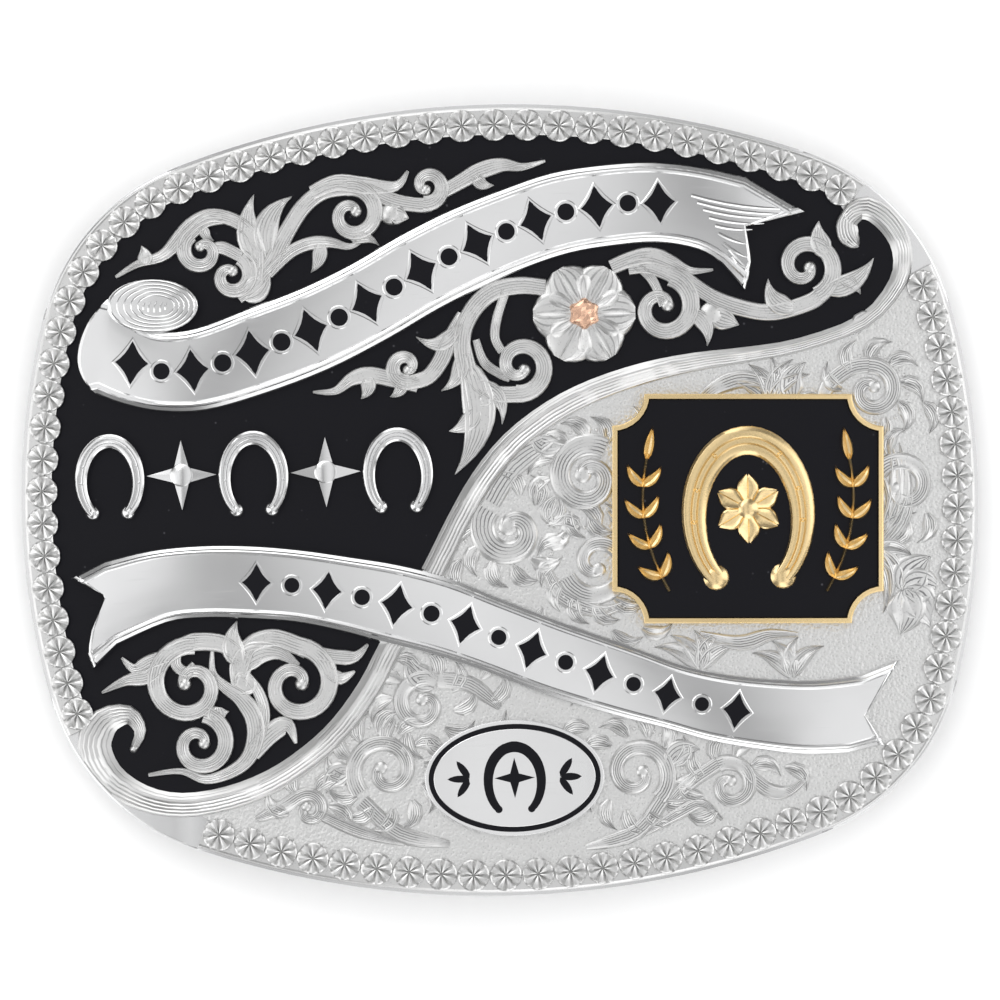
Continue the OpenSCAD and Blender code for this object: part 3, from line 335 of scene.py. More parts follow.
# Cuts on the roll: root from its middle, and length, in squares, and their widths in millimetres
ROLL_CUTS = [(-9, 4, 8), (-4, 6, 11), (2, 6.5, 12), (8, 6, 11), (13, 4, 8)]
ROLL_CUT_WIDTHS = [0.3, 0.34, 0.34, 0.32, 0.26, 0.2, 0.1]
# Widths along a raised bar of the ribbon's tail, in millimetres
TAIL_BAR_WIDTHS = [0.62, 0.66, 0.62, 0.56, 0.46, 0.3, 0.12]

# Widths along a petal of the blossom, as shares of its radius, and along a leaf between two petals in
# millimetres
PETAL_WIDTHS = [0.42, 0.62, 0.8, 0.93, 1.0, 1.0, 0.95, 0.84, 0.64, 0.3]
SEPAL_WIDTHS = [1.5, 1.6, 1.5, 1.3, 1.0, 0.6, 0.15]
# Widths along a petal of the plaque's flower, as shares of its widest
FLOWER_WIDTHS = [0.35, 0.6, 0.85, 1.0, 1.0, 0.85, 0.55, 0.15]

# A horseshoe: half width as a share of its height, height of its middle line as a multiple of its upright
# radius, start angle, sweep and steps, and where its nails sit as shares of its length
SHOE_HALF_WIDTH = 0.34
SHOE_RISE = 1.79
SHOE_START = 232
SHOE_SWEEP = 284
SHOE_STEPS = 35
SHOE_NAILS = (0.16, 0.26, 0.36, 0.64, 0.74, 0.84)

# Cross-sections, from one side to the other: place across as a share of the width, height as a share
SCROLL_SECTION = [
    (0, 0.6), (0.04, 0.88), (0.09, 1.0), (0.15, 0.98), (0.2, 0.82), (0.32, 0.88), (0.42, 0.8), (0.5, 0.85),
    (0.58, 0.8), (0.68, 0.88), (0.8, 0.82), (0.85, 0.98), (0.91, 1.0), (0.96, 0.88), (1, 0.6)
]
RELIEF_SECTION = [
    (0, 0.1), (0.07, 0.75), (0.15, 1.0), (0.3, 0.72), (0.5, 0.5), (0.7, 0.62), (0.86, 0.95), (0.94, 0.6),
    (1, 0.1)
]
BAND_SECTION = [
    (0, 0.35), (0.03, 0.72), (0.08, 0.9), (0.13, 0.78), (0.21, 0.88), (0.27, 0.8), (0.35, 0.9), (0.41, 0.83),
    (0.49, 0.93), (0.55, 0.87), (0.63, 1.0), (0.71, 1.0), (0.93, 0.5), (1, 0.36)
]
RIBBON_SECTION = [
    (0, 0.55), (0.015, 0.72), (0.055, 0.83), (0.07, 0.95), (0.09, 1.0), (0.112, 0.96), (0.13, 0.84),
    (0.25, 0.88), (0.4, 0.91), (0.5, 0.92), (0.6, 0.91), (0.75, 0.88), (0.87, 0.84), (0.888, 0.96),
    (0.91, 1.0), (0.93, 0.95), (0.945, 0.83), (0.985, 0.72), (1, 0.55)
]
LEAF_SECTION = [
    (0, 0.1), (0.1, 0.8), (0.22, 1.0), (0.4, 0.6), (0.5, 0.3), (0.6, 0.6), (0.78, 0.9), (0.9, 0.7), (1, 0.1)
]
BAR_SECTION = [(0, 0.1), (0.2, 0.75), (0.5, 1.0), (0.8, 0.75), (1, 0.1)]
SHOE_SECTION = [
    (0, 0.5), (0.08, 0.85), (0.2, 1.0), (0.34, 0.98), (0.42, 0.7), (0.5, 0.66), (0.58, 0.7), (0.66, 0.98),
    (0.8, 1.0), (0.92, 0.85), (1, 0.5)
]
PETAL_SECTION = [
    (0, 0.5), (0.05, 0.85), (0.12, 1.0), (0.18, 0.88), (0.32, 0.7), (0.47, 0.6), (0.5, 0.72), (0.53, 0.6),
    (0.68, 0.7), (0.82, 0.88), (0.88, 1.0), (0.95, 0.85), (1, 0.5)
]
RING_SECTION = [(0, 0.3), (0.04, 0.75), (0.1, 1.0), (0.3, 0.95), (0.6, 0.9), (0.95, 0.85), (1, 0.6)]
# The raised edge that closes a ribbon's tail, and the lower one at its left end: share of the tail's length
# and height of the edge there, or None where the ribbon's own section runs on
TAIL_RIM = [
    (0.3, None), (0.6, None), (0.82, None), (0.86, 0.96), (0.9, 1.0), (0.94, 0.96), (0.97, 0.84), (1, 0.55)
]
START_RIM = [(0.3, None), (0.6, None), (0.84, None), (0.96, 0.72), (1, 0.55)]
# Rings of a star-cut round from its middle out: radius on a petal and in a cut, height on a petal and in a
# cut, all as shares
ROUND_RINGS = [
    (0.0, 0.0, 0.6, 0.6), (0.13, 0.12, 0.82, 0.57), (0.4, 0.4, 0.97, 0.57), (0.7, 0.7, 1.0, 0.58),
    (0.88, 0.86, 0.95, 0.6), (0.96, 0.93, 0.84, 0.6), (0.99, 0.96, 0.6, 0.55), (0.99, 0.96, 0.0, 0.0),
    (0.0, 0.0, 0.0, 0.0)
]
# Spokes of a round, and how far each of four neighbouring ones lies from a petal towards a cut
ROUND_SPOKES = 32
SPOKE_SHARES = (1, 0.14, 0, 0.14)

# Metal finishes. kept is the share of the colour that is left, and cut the share of it that is left deep in
# the cuts and painted as shade into the stipple's dents, which otherwise have the grooves' colour. haze is
# what handling adds to the roughness.
METALS = {
    "polished_silver": dict(colour="polished", rough=0.12, haze=0.13),
    "plate_silver": dict(colour="polished", kept=0.9, rough=0.16, haze=0.16),
    "band_silver": dict(
        colour="frosted", rough=0.26, haze=0.16, lines=7.0, scratches=0.4, groove_share=0.5
    ),
    "star_cut_silver": dict(
        colour="frosted", rough=0.24, haze=0.15, stipple=3400.0, dent_depth=0.000006, scratches=0.3
    ),
    "engraved_silver": dict(
        colour="frosted", rough=0.28, haze=0.2, lines=7.0, stipple=3000.0, dent_depth=0.00001, scratches=0.2,
        groove_share=0.6
    ),
    "leaf_silver": dict(
        colour="frosted", rough=0.28, haze=0.2, lines=7.0, stipple=3000.0, dent_depth=0.00001, scratches=0.2,
        groove_share=0.95
    ),
    "frosted_silver": dict(
        colour="frosted", rough=0.36, haze=0.2, stipple=2600.0, dent_depth=0.00012, scratches=0.1
    ),
    "gold": dict(colour="gold", cut=0.6, rough=0.18, haze=0.2, stipple=3600.0, dent_depth=0.000006),
    "rose_gold": dict(
        colour="rose", cut=0.5, rough=0.2, haze=0.15, stipple=3000.0, dent_depth=0.00001, scratches=0.2
    ),
    "nickel_wire": dict(colour="nickel", rough=0.25, haze=0.25, scratches=1.0)
}
# Depth of an engraved line in metres
LINE_DEPTH = 0.00003

# Lights: place in metres, size in metres, power as a multiple of the key light's
LIGHTS = [
    ("key", (-0.55, 0.6, 0.9), 0.5, 1), ("fill", (0.7, -0.5, 0.7), 0.4, 0.35), ("top", (0, 0, 1.8), 1.4, 8)
]
# Height that the camera's distance is measured from, in metres
CAMERA_FOOT = 0.012
# The sky's tones from left to right: place and brightness
SKY_STOPS = [
    (0.0, 0.6), (0.24, 1.05), (0.3, 1.02), (0.323, 0.3), (0.348, 0.32), (0.39, 0.78), (0.5, 0.98),
    (0.58, 0.86), (0.617, 0.32), (0.645, 0.32), (0.675, 1.02), (0.8, 0.98), (1.0, 0.5)
]
# Lower down the sky has dark and bright sectors: their number, the turn of the first in radians, their tones,
# and the heights between which they take over
SECTORS = 4.0
SECTOR_TURN = 0.8
SECTOR_TONES = (0.25, 1.75)
SECTOR_HEIGHTS = (0.82, 0.7)


def length_field(label, note, value):
    return bpy.props.FloatProperty(
        name=label, description=note, default=value, min=0, unit="LENGTH", subtype="DISTANCE", precision=5
    )


def colour_field(label, note, value):
    return bpy.props.FloatVectorProperty(
        name=label, description=note, default=value, size=3, min=0, max=1, subtype="COLOR"
    )


class BuckleShape(bpy.types.PropertyGroup):
    """Sizes of the buckle's face in plan"""

    width: length_field("Width", "Width of the buckle from side to side", 0.108)
    height: length_field("Height", "Height of the buckle from top to bottom", 0.0889)
    top_arc: length_field("Top arc", "Radius of the long arcs at the top and bottom", 0.1062)
    side_arc: length_field("Side arc", "Radius of the arcs at both sides", 0.082)
    corner: length_field("Corner", "Radius of the four corners", 0.0246)
    bend: length_field("Bend", "Radius that the face is bent to across its width", 0.2)
    face: length_field("Face", "Height of the plate's face at mid-width above the floor", 0.0141)
    plate: length_field("Plate", "Thickness of the base plate", 0.0017)
    round_pitch: length_field("Round pitch", "Spacing of the star-cut rounds", 0.00366)
    round_radius: length_field("Round radius", "Radius of one star-cut round", 0.00186)
    round_inset: length_field("Round inset", "Distance from the edge in to the rounds", 0.0023)
    ring_margin: length_field("Ring margin", "Distance from the edge in to the ring", 0.00035)
    ring_width: length_field("Ring width", "Width of the ring that carries the rounds", 0.0034)
    stem: length_field("Stem", "Width of a scroll stem", 0.0015)
    relief_stem: length_field("Engraved stem", "Width of an engraved stem", 0.0015)
    band: length_field("Band", "Width of the dividing band at its widest", 0.0027)
    blossom: length_field("Blossom", "Radius of the blossom", 0.00575)
    blossom_centre: length_field("Blossom centre", "Radius of the blossom's centre", 0.0019)
    plaque_width: length_field("Plaque width", "Width of the gold plaque", 0.0306)
    plaque_height: length_field("Plaque height", "Height of the gold plaque", 0.0258)
    plaque_scoop: length_field("Plaque scoop", "Radius of the scoops at its corners", 0.0036)
    plaque_rim: length_field("Plaque rim", "Width of the gold plaque's rim", 0.0007)
    oval_half_width: length_field("Oval half width", "Half width of the oval plaque", 0.0101)
    oval_half_height: length_field("Oval half height", "Half height of the oval plaque", 0.0065)
    oval_margin: length_field("Oval margin", "Distance from the oval's edge in to its line", 0.00045)
    oval_line: length_field("Oval line", "Width of the oval's black line", 0.00055)
    motif: length_field("Motif", "Height of the five raised motifs on the face", 0.0096)
    motif_stroke: length_field("Motif stroke", "Width of a raised motif's stroke", 0.0015)


class BuckleHeights(bpy.types.PropertyGroup):
    """Heights of the layers above the plate"""

    seat: length_field("Seat", "Height that the layers start at", 0.00002)
    ring: length_field("Ring", "Top of the ring under the rounds", 0.0005)
    rounds: length_field("Rounds", "Top of the star-cut rounds", 0.0009)
    enamel: length_field("Enamel", "Top of the black enamel", 0.00022)
    panel: length_field("Panel", "Top of the engraved panel's ground", 0.00042)
    relief: length_field("Relief", "Top of the engraved leaves", 0.00064)
    scroll_low: length_field("Scroll foot", "Underside of the sawn scrolls", 0.00024)
    scroll: length_field("Scroll", "Top of the sawn scrolls", 0.00094)
    band: length_field("Band", "Top of the dividing band", 0.00085)
    ribbon: length_field("Ribbon", "Top of the ribbons", 0.00145)
    blossom: length_field("Blossom", "Top of the blossom", 0.00114)
    centre: length_field("Centre", "Top of the blossom's centre", 0.00159)
    motif: length_field("Motif", "Top of the raised motifs", 0.00104)
    plaque_floor: length_field("Plaque floor", "Top of the gold plaque's floor", 0.00092)
    plaque_rim: length_field("Plaque rim", "Top of the gold plaque's rim", 0.00162)
    plaque_enamel: length_field("Plaque enamel", "Top of the enamel in the plaque", 0.00127)
    plaque_motif: length_field("Plaque motif", "Top of the gold motif", 0.00182)
    oval: length_field("Oval", "Top of the oval plaque", 0.0011)


class BuckleColours(bpy.types.PropertyGroup):
    """Colours of the metals and the enamel"""

    polished: colour_field("Polished silver", "Colour of the polished silver", (0.81, 0.812, 0.815))
    frosted: colour_field("Frosted silver", "Colour of the frosted and engraved silver", (0.72, 0.72, 0.715))
    # The grooves' colour is also the painted shade in the stipple's dents of finishes that have no cut share
    groove: colour_field("Grooves", "Colour deep in the engraved lines", (0.2, 0.2, 0.205))
    enamel: colour_field("Black enamel", "Colour of the black enamel", (0.003, 0.003, 0.0048))
    gold: colour_field("Gold", "Colour of the gold plate", (0.9, 0.69, 0.37))
    rose: colour_field("Rose gold", "Colour of the rose gold", (0.88, 0.56, 0.4))
    nickel: colour_field("Nickel", "Colour of the nickel wire", (0.6, 0.58, 0.54))


class BuckleStudio(bpy.types.PropertyGroup):
    """Floor, light and camera"""

    floor: colour_field("Floor", "Colour of the floor", (0.97, 0.97, 0.97))
    sky: bpy.props.FloatProperty(
        name="Sky", description="Strength of the soft light all round", default=1.0, min=0
    )
    key: bpy.props.FloatProperty(
        name="Key light", description="Power of the large soft light", default=1.6, min=0, unit="POWER"
    )
    distance: length_field("Camera distance", "Height of the camera above the face", 1.5)
    view: length_field("View width", "Width of face and floor that the camera sees", 0.11253)


def shape():
    return bpy.context.scene.buckle_shape


def heights():
    return bpy.context.scene.buckle_heights


def colours():
    return bpy.context.scene.buckle_colours


def mm(metres):
    return metres * 1000


def off_ring(gap):
    """An inset from the buckle's edge that ends a gap inside the ring."""
    return mm(shape().ring_width) + gap


# Plan of the face, in millimetres
def on_face(p):
    """A point of the sheet as a point of the face."""
    turn = math.radians(-SHEET_TURN)
    x = p[0] - SHEET_MID[0]
    y = SHEET_MID[1] - p[1]
    return Vector((
        (x * math.cos(turn) - y * math.sin(turn)) * mm(shape().width) / SHEET_W,
        (x * math.sin(turn) + y * math.cos(turn)) * mm(shape().height) / SHEET_H,
    ))


def all_on_face(points):
    return [on_face(p) for p in points]


def squares(count):
    """A length on the sheet in millimetres."""
    return count * mm(shape().width) / SHEET_W


def place(p, height):
    """A point of the plan at a height above the bent plate, in metres."""
    bend = mm(shape().bend)
    x = max(min(p[0], bend * 0.9), -bend * 0.9)
    return Vector((x, p[1], mm(shape().face) - bend + math.sqrt((bend + height) ** 2 - x * x))) * 0.001


def left_of(v):
    return Vector((-v.y, v.x))


def ray(angle):
    return Vector((math.cos(math.radians(angle)), math.sin(math.radians(angle))))


def bearing(v):
    return math.degrees(math.atan2(v.y, v.x))


def circle(mid, r, n):
    return [mid + r * ray(360 * i / n) for i in range(n)]


def star_points(mid, long, short):
    """The outline of a star with four points."""
    return [mid + (long if i % 2 == 0 else short) * ray(45 * i) for i in range(8)]


def curve(points, steps=5):
    """A smooth curve through points."""
    out = []
    last = len(points) - 1
    for i in range(last):
        a = points[max(i - 1, 0)]
        b = points[i]
        c = points[i + 1]
        d = points[min(i + 2, last)]
        for j in range(steps):
            t = j / steps
            out.append(0.5 * (2 * b + (c - a) * t + (2 * a - 5 * b + 4 * c - d) * t * t
                              + (3 * b - a - 3 * c + d) * t ** 3))
    return out + [points[last]]


def along(path, i):
    way = path[min(i + 1, len(path) - 1)] - path[max(i - 1, 0)]
    return way.normalized()


def rim_arcs():
    """The outline's eight arcs: centre, radius, first and last angle in degrees."""
    s = shape()
    top_r, side_r, corner_r = mm(s.top_arc), mm(s.side_arc), mm(s.corner)
    top_mid = Vector((0, mm(s.height) / 2 - top_r))
    side_mid = Vector((mm(s.width) / 2 - side_r, 0))
    way = top_mid - side_mid
    d = way.length
    near, far = side_r - corner_r, top_r - corner_r
    ahead = (d * d + near * near - far * far) / (2 * d)
    aside = math.sqrt(near * near - ahead * ahead)
    corner = side_mid + way.normalized() * ahead + left_of(way.normalized()) * aside
    if corner.y < 0:
        corner = side_mid + way.normalized() * ahead - left_of(way.normalized()) * aside
    side_a = math.degrees(math.atan2(corner.y, corner.x - side_mid.x))
    top_a = math.degrees(math.atan2(corner.y - top_mid.y, corner.x))
    flip = Vector((-corner.x, corner.y))
    return [
        (side_mid, side_r, -side_a, side_a), (corner, corner_r, side_a, top_a),
        (top_mid, top_r, top_a, 180 - top_a), (flip, corner_r, 180 - top_a, 180 - side_a),
        (-side_mid, side_r, 180 - side_a, 180 + side_a), (-corner, corner_r, 180 + side_a, 180 + top_a),
        (-top_mid, top_r, 180 + top_a, 360 - top_a), (-flip, corner_r, 360 - top_a, 360 - side_a),
    ]


def rim_lengths():
    inset = mm(shape().round_inset)
    return [math.radians(a[3] - a[2]) * (a[1] - inset) for a in rim_arcs()]


def rim_point(s, inset):
    """The point a way s along the middle of the rounds, moved out or in to an inset from the edge."""
    lengths = rim_lengths()
    s = s % sum(lengths)
    for arc, long in zip(rim_arcs(), lengths):
        if s <= long:
            return arc[0] + (arc[1] - inset) * ray(arc[2] + (arc[3] - arc[2]) * s / long)
        s -= long
    return arc[0] + (arc[1] - inset) * ray(arc[3])


def rim_outline(inset, step):
    n = int(sum(rim_lengths()) / step)
    return [rim_point(sum(rim_lengths()) * i / n, inset) for i in range(n)]


def within_rim(p, inset):
    """Moves a point that lies outside the inset outline onto it."""
    for centre, radius, first, last in rim_arcs():
        way = p - centre
        angle = bearing(way)
        for turn in (-360, 0, 360):
            if first <= angle + turn <= last and way.length > radius - inset:
                return centre + way.normalized() * (radius - inset)
    return p


def inside(outline, p):
    """Says whether a point lies inside an outline."""
    hit = False
    for a, b in zip(outline, outline[1:] + outline[:1]):
        if (a.y > p.y) != (b.y > p.y) and p.x < (b.x - a.x) * (p.y - a.y) / (b.y - a.y) + a.x:
            hit = not hit
    return hit


# Mesh tools
def fresh():
    """An empty mesh with the map that engraved lines follow."""
    bm = bmesh.new()
    bm.loops.layers.uv.new("along")
    return bm


def everything(bm):
    return bm.verts[:] + bm.edges[:] + bm.faces[:]


def upper_half(bm):
    """Cuts a ball in half and closes the cut."""
    bmesh.ops.bisect_plane(
        bm, geom=everything(bm), dist=0.0001, plane_co=(0, 0, 0), plane_no=(0, 0, 1), clear_inner=True
    )
    bmesh.ops.holes_fill(bm, edges=[e for e in bm.edges if e.is_boundary], sides=0)


def joined(parts):
    whole = fresh()
    for part in parts:
        mesh = bpy.data.meshes.new("part")
        bmesh.ops.recalc_face_normals(part, faces=part.faces)
        part.to_mesh(mesh)
        part.free()
        whole.from_mesh(mesh)
        bpy.data.meshes.remove(mesh)
    return whole


def loft(columns, tops, base, across):
    """A closed strip on a flat base through columns of plan points, each point with its own height."""
    bm = fresh()
    layer = bm.loops.layers.uv["along"]
    n = len(columns) + 1
    k = len(columns[0])
    rows = 2 * k
    run = [0.0]
    for a, b in zip(columns, columns[1:]):
        run.append(run[-1] + (b[k // 2] - a[k // 2]).length)
    bmesh.ops.create_grid(bm, x_segments=n, y_segments=rows, size=1)
    spots = {}
    for v in bm.verts:
        i = round((v.co.x + 1) * n / 2)
        j = round((v.co.y + 1) * rows / 2)
        at = min(max(i - 1, 0), n - 2)
        side = j if j < k else max(rows - 1 - j, 0)
        top = 0 < i < n and (j < k or j == rows)
        spots[v] = (run[at] / 10, across[side])
        v.co = place(columns[at][side], tops[at][side] if top else base)
    for face in bm.faces:
        for corner in face.loops:
            corner[layer].uv = spots[corner.vert]
    bmesh.ops.remove_doubles(bm, verts=bm.verts, dist=0.000001)
    return bm


def stroke(path, widths, section, base, top, inset=None):
    """A strip along a path of the plan."""
    columns = []
    tops = []
    for i, p in enumerate(path):
        side = left_of(along(path, i)) * max(widths[i], LEAST_WIDTH) / 2
        row = [p + side * (1 - 2 * v) for v, share in section]
        if inset is not None:
            row = [within_rim(q, inset) for q in row]
        columns.append(row)
        thin = min(1, THIN_HEIGHT + widths[i] / max(widths) * THIN_GAIN)
        tops.append([base + (top - base) * share * thin for v, share in section])
    return loft(columns, tops, base, [v for v, share in section])


def bent(bm, strip):
    """Cuts a flat shape, whose z is its height above the plate, into strips and bends it."""
    reach = max(abs(v.co.x) for v in bm.verts)
    for i in range(-int(reach / strip), int(reach / strip) + 1):
        bmesh.ops.bisect_plane(
            bm, geom=everything(bm), dist=0.00001, plane_co=(i * strip + OFF_POINTS, 0, 0), plane_no=(1, 0, 0)
        )
    for v in bm.verts:
        v.co = place(v.co, v.co.z)
    return bm


def slab(outline, low, high, bevel=0.0, segments=2, rim=0.0, depth=0.0, strip=3.0, peak=None):
    """A plate with a given outline; rim and depth sink a pocket into it, peak raises its middle."""
    bm = fresh()
    bmesh.ops.create_circle(bm, cap_ends=True, segments=len(outline), radius=1)
    ring = sorted(bm.verts, key=lambda v: math.atan2(v.co.y, v.co.x))
    for v, p in zip(ring, outline):
        v.co = (p[0], p[1], low)
    bmesh.ops.recalc_face_normals(bm, faces=bm.faces)
    raised = bmesh.ops.extrude_face_region(bm, geom=bm.faces[:])["geom"]
    top = [f for f in raised if isinstance(f, bmesh.types.BMFace)][0]
    for v in top.verts:
        v.co.z = high
    if bevel:
        bmesh.ops.bevel(
            bm, geom=top.edges[:], offset=bevel, offset_type="OFFSET", segments=segments, profile=0.5,
            affect="EDGES", clamp_overlap=True, material=-1
        )
        top = max(bm.faces, key=lambda f: (round(f.calc_center_median().z, 4), f.calc_area()))
    if rim:
        bmesh.ops.inset_region(bm, faces=[top], thickness=rim, use_even_offset=True)
        bmesh.ops.inset_region(bm, faces=[top], thickness=depth * 0.25, use_even_offset=True)
        for v in top.verts:
            v.co.z -= depth
    if peak is not None:
        spike = bmesh.ops.poke(bm, faces=[top])["verts"][0]
        spike.co = (*[sum(p[k] for p in outline) / len(outline) for k in (0, 1)], peak)
    return bent(bm, strip)


def disc(mid, r, low, high, bevel, n):
    return slab(circle(mid, r, n), low, high, bevel)


def dome(mid, r, low, high, n=14):
    """A low round boss."""
    bm = fresh()
    bmesh.ops.create_uvsphere(bm, u_segments=n, v_segments=8, radius=1)
    upper_half(bm)
    for v in bm.verts:
        v.co = place((mid[0] + v.co.x * r, mid[1] + v.co.y * r), low + v.co.z * (high - low))
    return bm


def piece(name, parts, material, nodes=(), sharp=32, smooth=True):
    """Joins parts to one piece of the buckle, in place of the named nodes."""
    bm = joined(parts)
    for face in bm.faces:
        face.smooth = smooth
    mesh = bpy.data.meshes.new(name)
    bm.to_mesh(mesh)
    bm.free()
    if smooth:
        mesh.set_sharp_from_angle(angle=math.radians(sharp))
    mesh.materials.append(material)
    made = bpy.data.objects.new(name, mesh)
    bpy.context.scene.collection.objects.link(made)
    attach(made, "root")
    if nodes:
        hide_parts(*nodes)


# Scrollwork
def swell(t, root, tip):
    """A vine's width at a share t of its length, from its root's and its tip's share."""
    return min(1, root + (1 - root) * t / 0.35, tip + (1 - tip) * (1 - t) / 0.5)


def leaf_widths(n, width):
    return [width * math.sin(math.radians(20 + 160 * (i / n) ** 0.8)) for i in range(n + 1)]


def bowed(a, b, bow, n):
    """A path of n steps, bowed to the left by a share of its length."""
    return [a + (b - a) * i / n + left_of(b - a) * bow * 4 * (i / n) * (1 - i / n) for i in range(n + 1)]


def leaf(root, tip, bow, wide, section, low, high, steps=7, inset=None):
    return stroke(bowed(root, tip, bow, steps), leaf_widths(steps, wide), section, low, high, inset)


def volute_path(row, n):
    out = []
    for i in range(n + 1):
        t = i / n
        r = row[1] + (row[2] - row[1]) * t ** 1.2
        a = math.radians(row[3] + row[4] * t)
        out.append(on_face((row[0][0] + r * math.cos(a), row[0][1] - r * math.sin(a))))
    return out


def spray(vines, volutes, leaves, buds, stem, base, top, section, inset):
    """The strokes of one scroll. Each lies a hair higher or lower than the next, so that none coincide."""
    parts = []
    for k, (root, tip, bow, wide) in enumerate(leaves):
        high = top - HAIR * (k % 3)
        wide = wide * stem * LEAF_WIDTH
        parts.append(leaf(on_face(root), on_face(tip), bow, wide, section, base, high, 10, inset))
    for k, (wide, root, tip, points) in enumerate(vines):
        path = curve(all_on_face(points))
        last = len(path) - 1
        widths = [wide * stem * VINE_WIDTH * swell(i / last, root, tip) for i in range(last + 1)]
        parts.append(stroke(path, widths, section, base, top - HAIR * (3 + k % 4), inset))
    for k, row in enumerate(volutes):
        n = math.ceil(abs(row[4]) / 12)
        path = volute_path(row, n)
        widths = [row[5] * stem * VOLUTE_WIDTH * (1 - VOLUTE_TAPER * i / n) for i in range(n + 1)]
        parts.append(stroke(path, widths, section, base, top - HAIR * (k % 2) + HAIR, inset))
        parts.append(dome(path[n], row[5] * stem * EYE_RADIUS, base, top + 0.03))
    for centre, radius, tip in buds:
        mid = on_face(centre)
        r = squares(radius)
        parts.append(leaf(mid, on_face(tip), 0, BUD_WIDTH * r, section, base, top, 8, inset))
        parts.append(dome(mid, r, base, top + 0.05, 24))
    return parts


# Ribbons
def edges(rows):
    """A ribbon's upper and lower edge."""
    return (
        curve([on_face(row[:2]) for row in rows], 4),
        curve([on_face(row[2:]) for row in rows], 4),
    )


def spread(points, shares, v):
    """The point a share v along a tail's outline, whose points stand at the given shares."""
    for i in range(len(points) - 1):
        if v <= shares[i + 1]:
            t = (v - shares[i]) / (shares[i + 1] - shares[i])
            return points[i] + (points[i + 1] - points[i]) * t
    return points[-1]


def evenly(points):
    """A tail's points with the share of its length at which each stands."""
    reach = [0]
    for a, b in zip(points, points[1:]):
        reach.append(reach[-1] + (b - a).length)
    return points, [x / reach[-1] for x in reach]


def ribbon_profile(step=0.06):
    """The ribbon's section with more points where they stand far apart, as (across, height) pairs."""
    out = []
    for (v, share), (next_v, next_share) in zip(RIBBON_SECTION, RIBBON_SECTION[1:]):
        n = max(1, round((next_v - v) / step))
        out += [(v + (next_v - v) * k / n, share + (next_share - share) * k / n) for k in range(n)]
    return out + [RIBBON_SECTION[-1]]


def mark_spot(rows, t):
    """The points of a ribbon's edges at a share t of its length."""
    top, low = edges(rows)
    steps = [(top[i + 1] + low[i + 1] - top[i] - low[i]).length / 2 for i in range(len(top) - 1)]
    s = t * sum(steps)
    k = 0
    while s > steps[k] and k < len(steps) - 1:
        s -= steps[k]
        k += 1
    return [edge[k] + (edge[k + 1] - edge[k]) * s / steps[k] for edge in (top, low)]


def mark_outlines(rows, marks, grow):
    """Outlines of a ribbon's marks, lozenges and rounds in turn, each larger all round by grow."""
    first, last, count = marks
    out = []
    for k in range(count):
        top, low = mark_spot(rows, first + (last - first) * k / (count - 1))
        mid = (top + low) / 2
        up = (top - low).normalized()
        high = (top - low).length
        if k % 2 == 0:
            h, w = [high * share + grow * 1.15 for share in LOZENGE]
            bow = 0.16 - 0.2 * grow
            side = Vector((up.y, -up.x))
            corners = [mid + up * h, mid - side * w, mid - up * h, mid + side * w]
            out.append([
                a + (b - a) * t / 4 + (mid - (a + b) / 2) * bow * math.sin(math.pi * t / 4)
                for a, b in zip(corners, corners[1:] + corners[:1]) for t in range(4)
            ])
        else:
            out.append(circle(mid, high * ROUND_MARK + grow, 20))
    return out


def ribbon(rows, first_tail, first_rim, last_tail, top_height, fade=0):
    """Columns from one tail to the other; a tail is its points and their shares across the ribbon."""
    top, low = edges(rows)
    profile = ribbon_profile()
    shares = [v for v, share in profile]
    body = [[a + (b - a) * v for v in shares] for a, b in zip(top, low)]
    columns = []
    rims = []
    section = [share for v, share in profile]
    flat = section[len(section) // 2]

    def capped(row, i):
        """A column's heights, its raised edges growing from nothing over the columns named by fade."""
        return [min(share, flat + (1 - flat) * i / fade) for share in row] if i < fade else row

    def tail(root, points, steps):
        end = [spread(*points, v) for v in shares]
        for part, edge in steps:
            columns.append([b + (e - b) * part for b, e in zip(root, end)])
            rims.append([
                share if edge is None or (e - b).length < 0.8 else edge if edge < 0.8 else max(share, edge)
                for share, b, e in zip(section, root, end)
            ])
    tail(body[0], first_tail, first_rim[::-1])
    rims = [capped(row, 0) for row in rims]
    columns += body
    rims += [capped(section, i) for i in range(len(body))]
    tail(body[-1], last_tail, TAIL_RIM)
    base = mm(heights().seat)
    tops = [[base + (top_height - base) * share for share in row] for row in rims]
    columns = [[within_rim(p, off_ring(OFF_RING)) for p in row] for row in columns]
    return loft(columns, tops, base, shares)


def horseshoe_path(mid, h, stroke_w):
    rx = h * SHOE_HALF_WIDTH
    ry = (h - stroke_w) / SHOE_RISE
    out = []
    for i in range(SHOE_STEPS + 1):
        a = math.radians(SHOE_START - SHOE_SWEEP * i / SHOE_STEPS)
        out.append(Vector((mid[0] + rx * math.cos(a), mid[1] + h / 2 - stroke_w / 2 - ry + ry * math.sin(a))))
    return out


def horseshoe(mid, h, stroke_w, low, high, section=SHOE_SECTION, nails=True):
    path = horseshoe_path(mid, h, stroke_w)
    last = len(path) - 1
    wide = [stroke_w * (0.8 + 0.4 * math.sin(math.pi * i / last)) for i in range(last + 1)]
    parts = [stroke(path, wide, section, low, high)]
    for end in (path[0], path[last]):
        parts.append(dome(end, stroke_w * 0.575, low, high - 0.02, 18))
    if nails:
        for share in SHOE_NAILS:
            parts.append(dome(path[round(share * last)], stroke_w * 0.13, low, high - 0.02, 10))
    return parts


def star(mid, h, boss, low, high):
    return [
        slab(star_points(mid, h / 2, h * 0.15), low, low + (high - low) * 0.55, peak=high - 0.22),
        disc(mid, boss, low, high - 0.15, 0.3, 28)
    ]


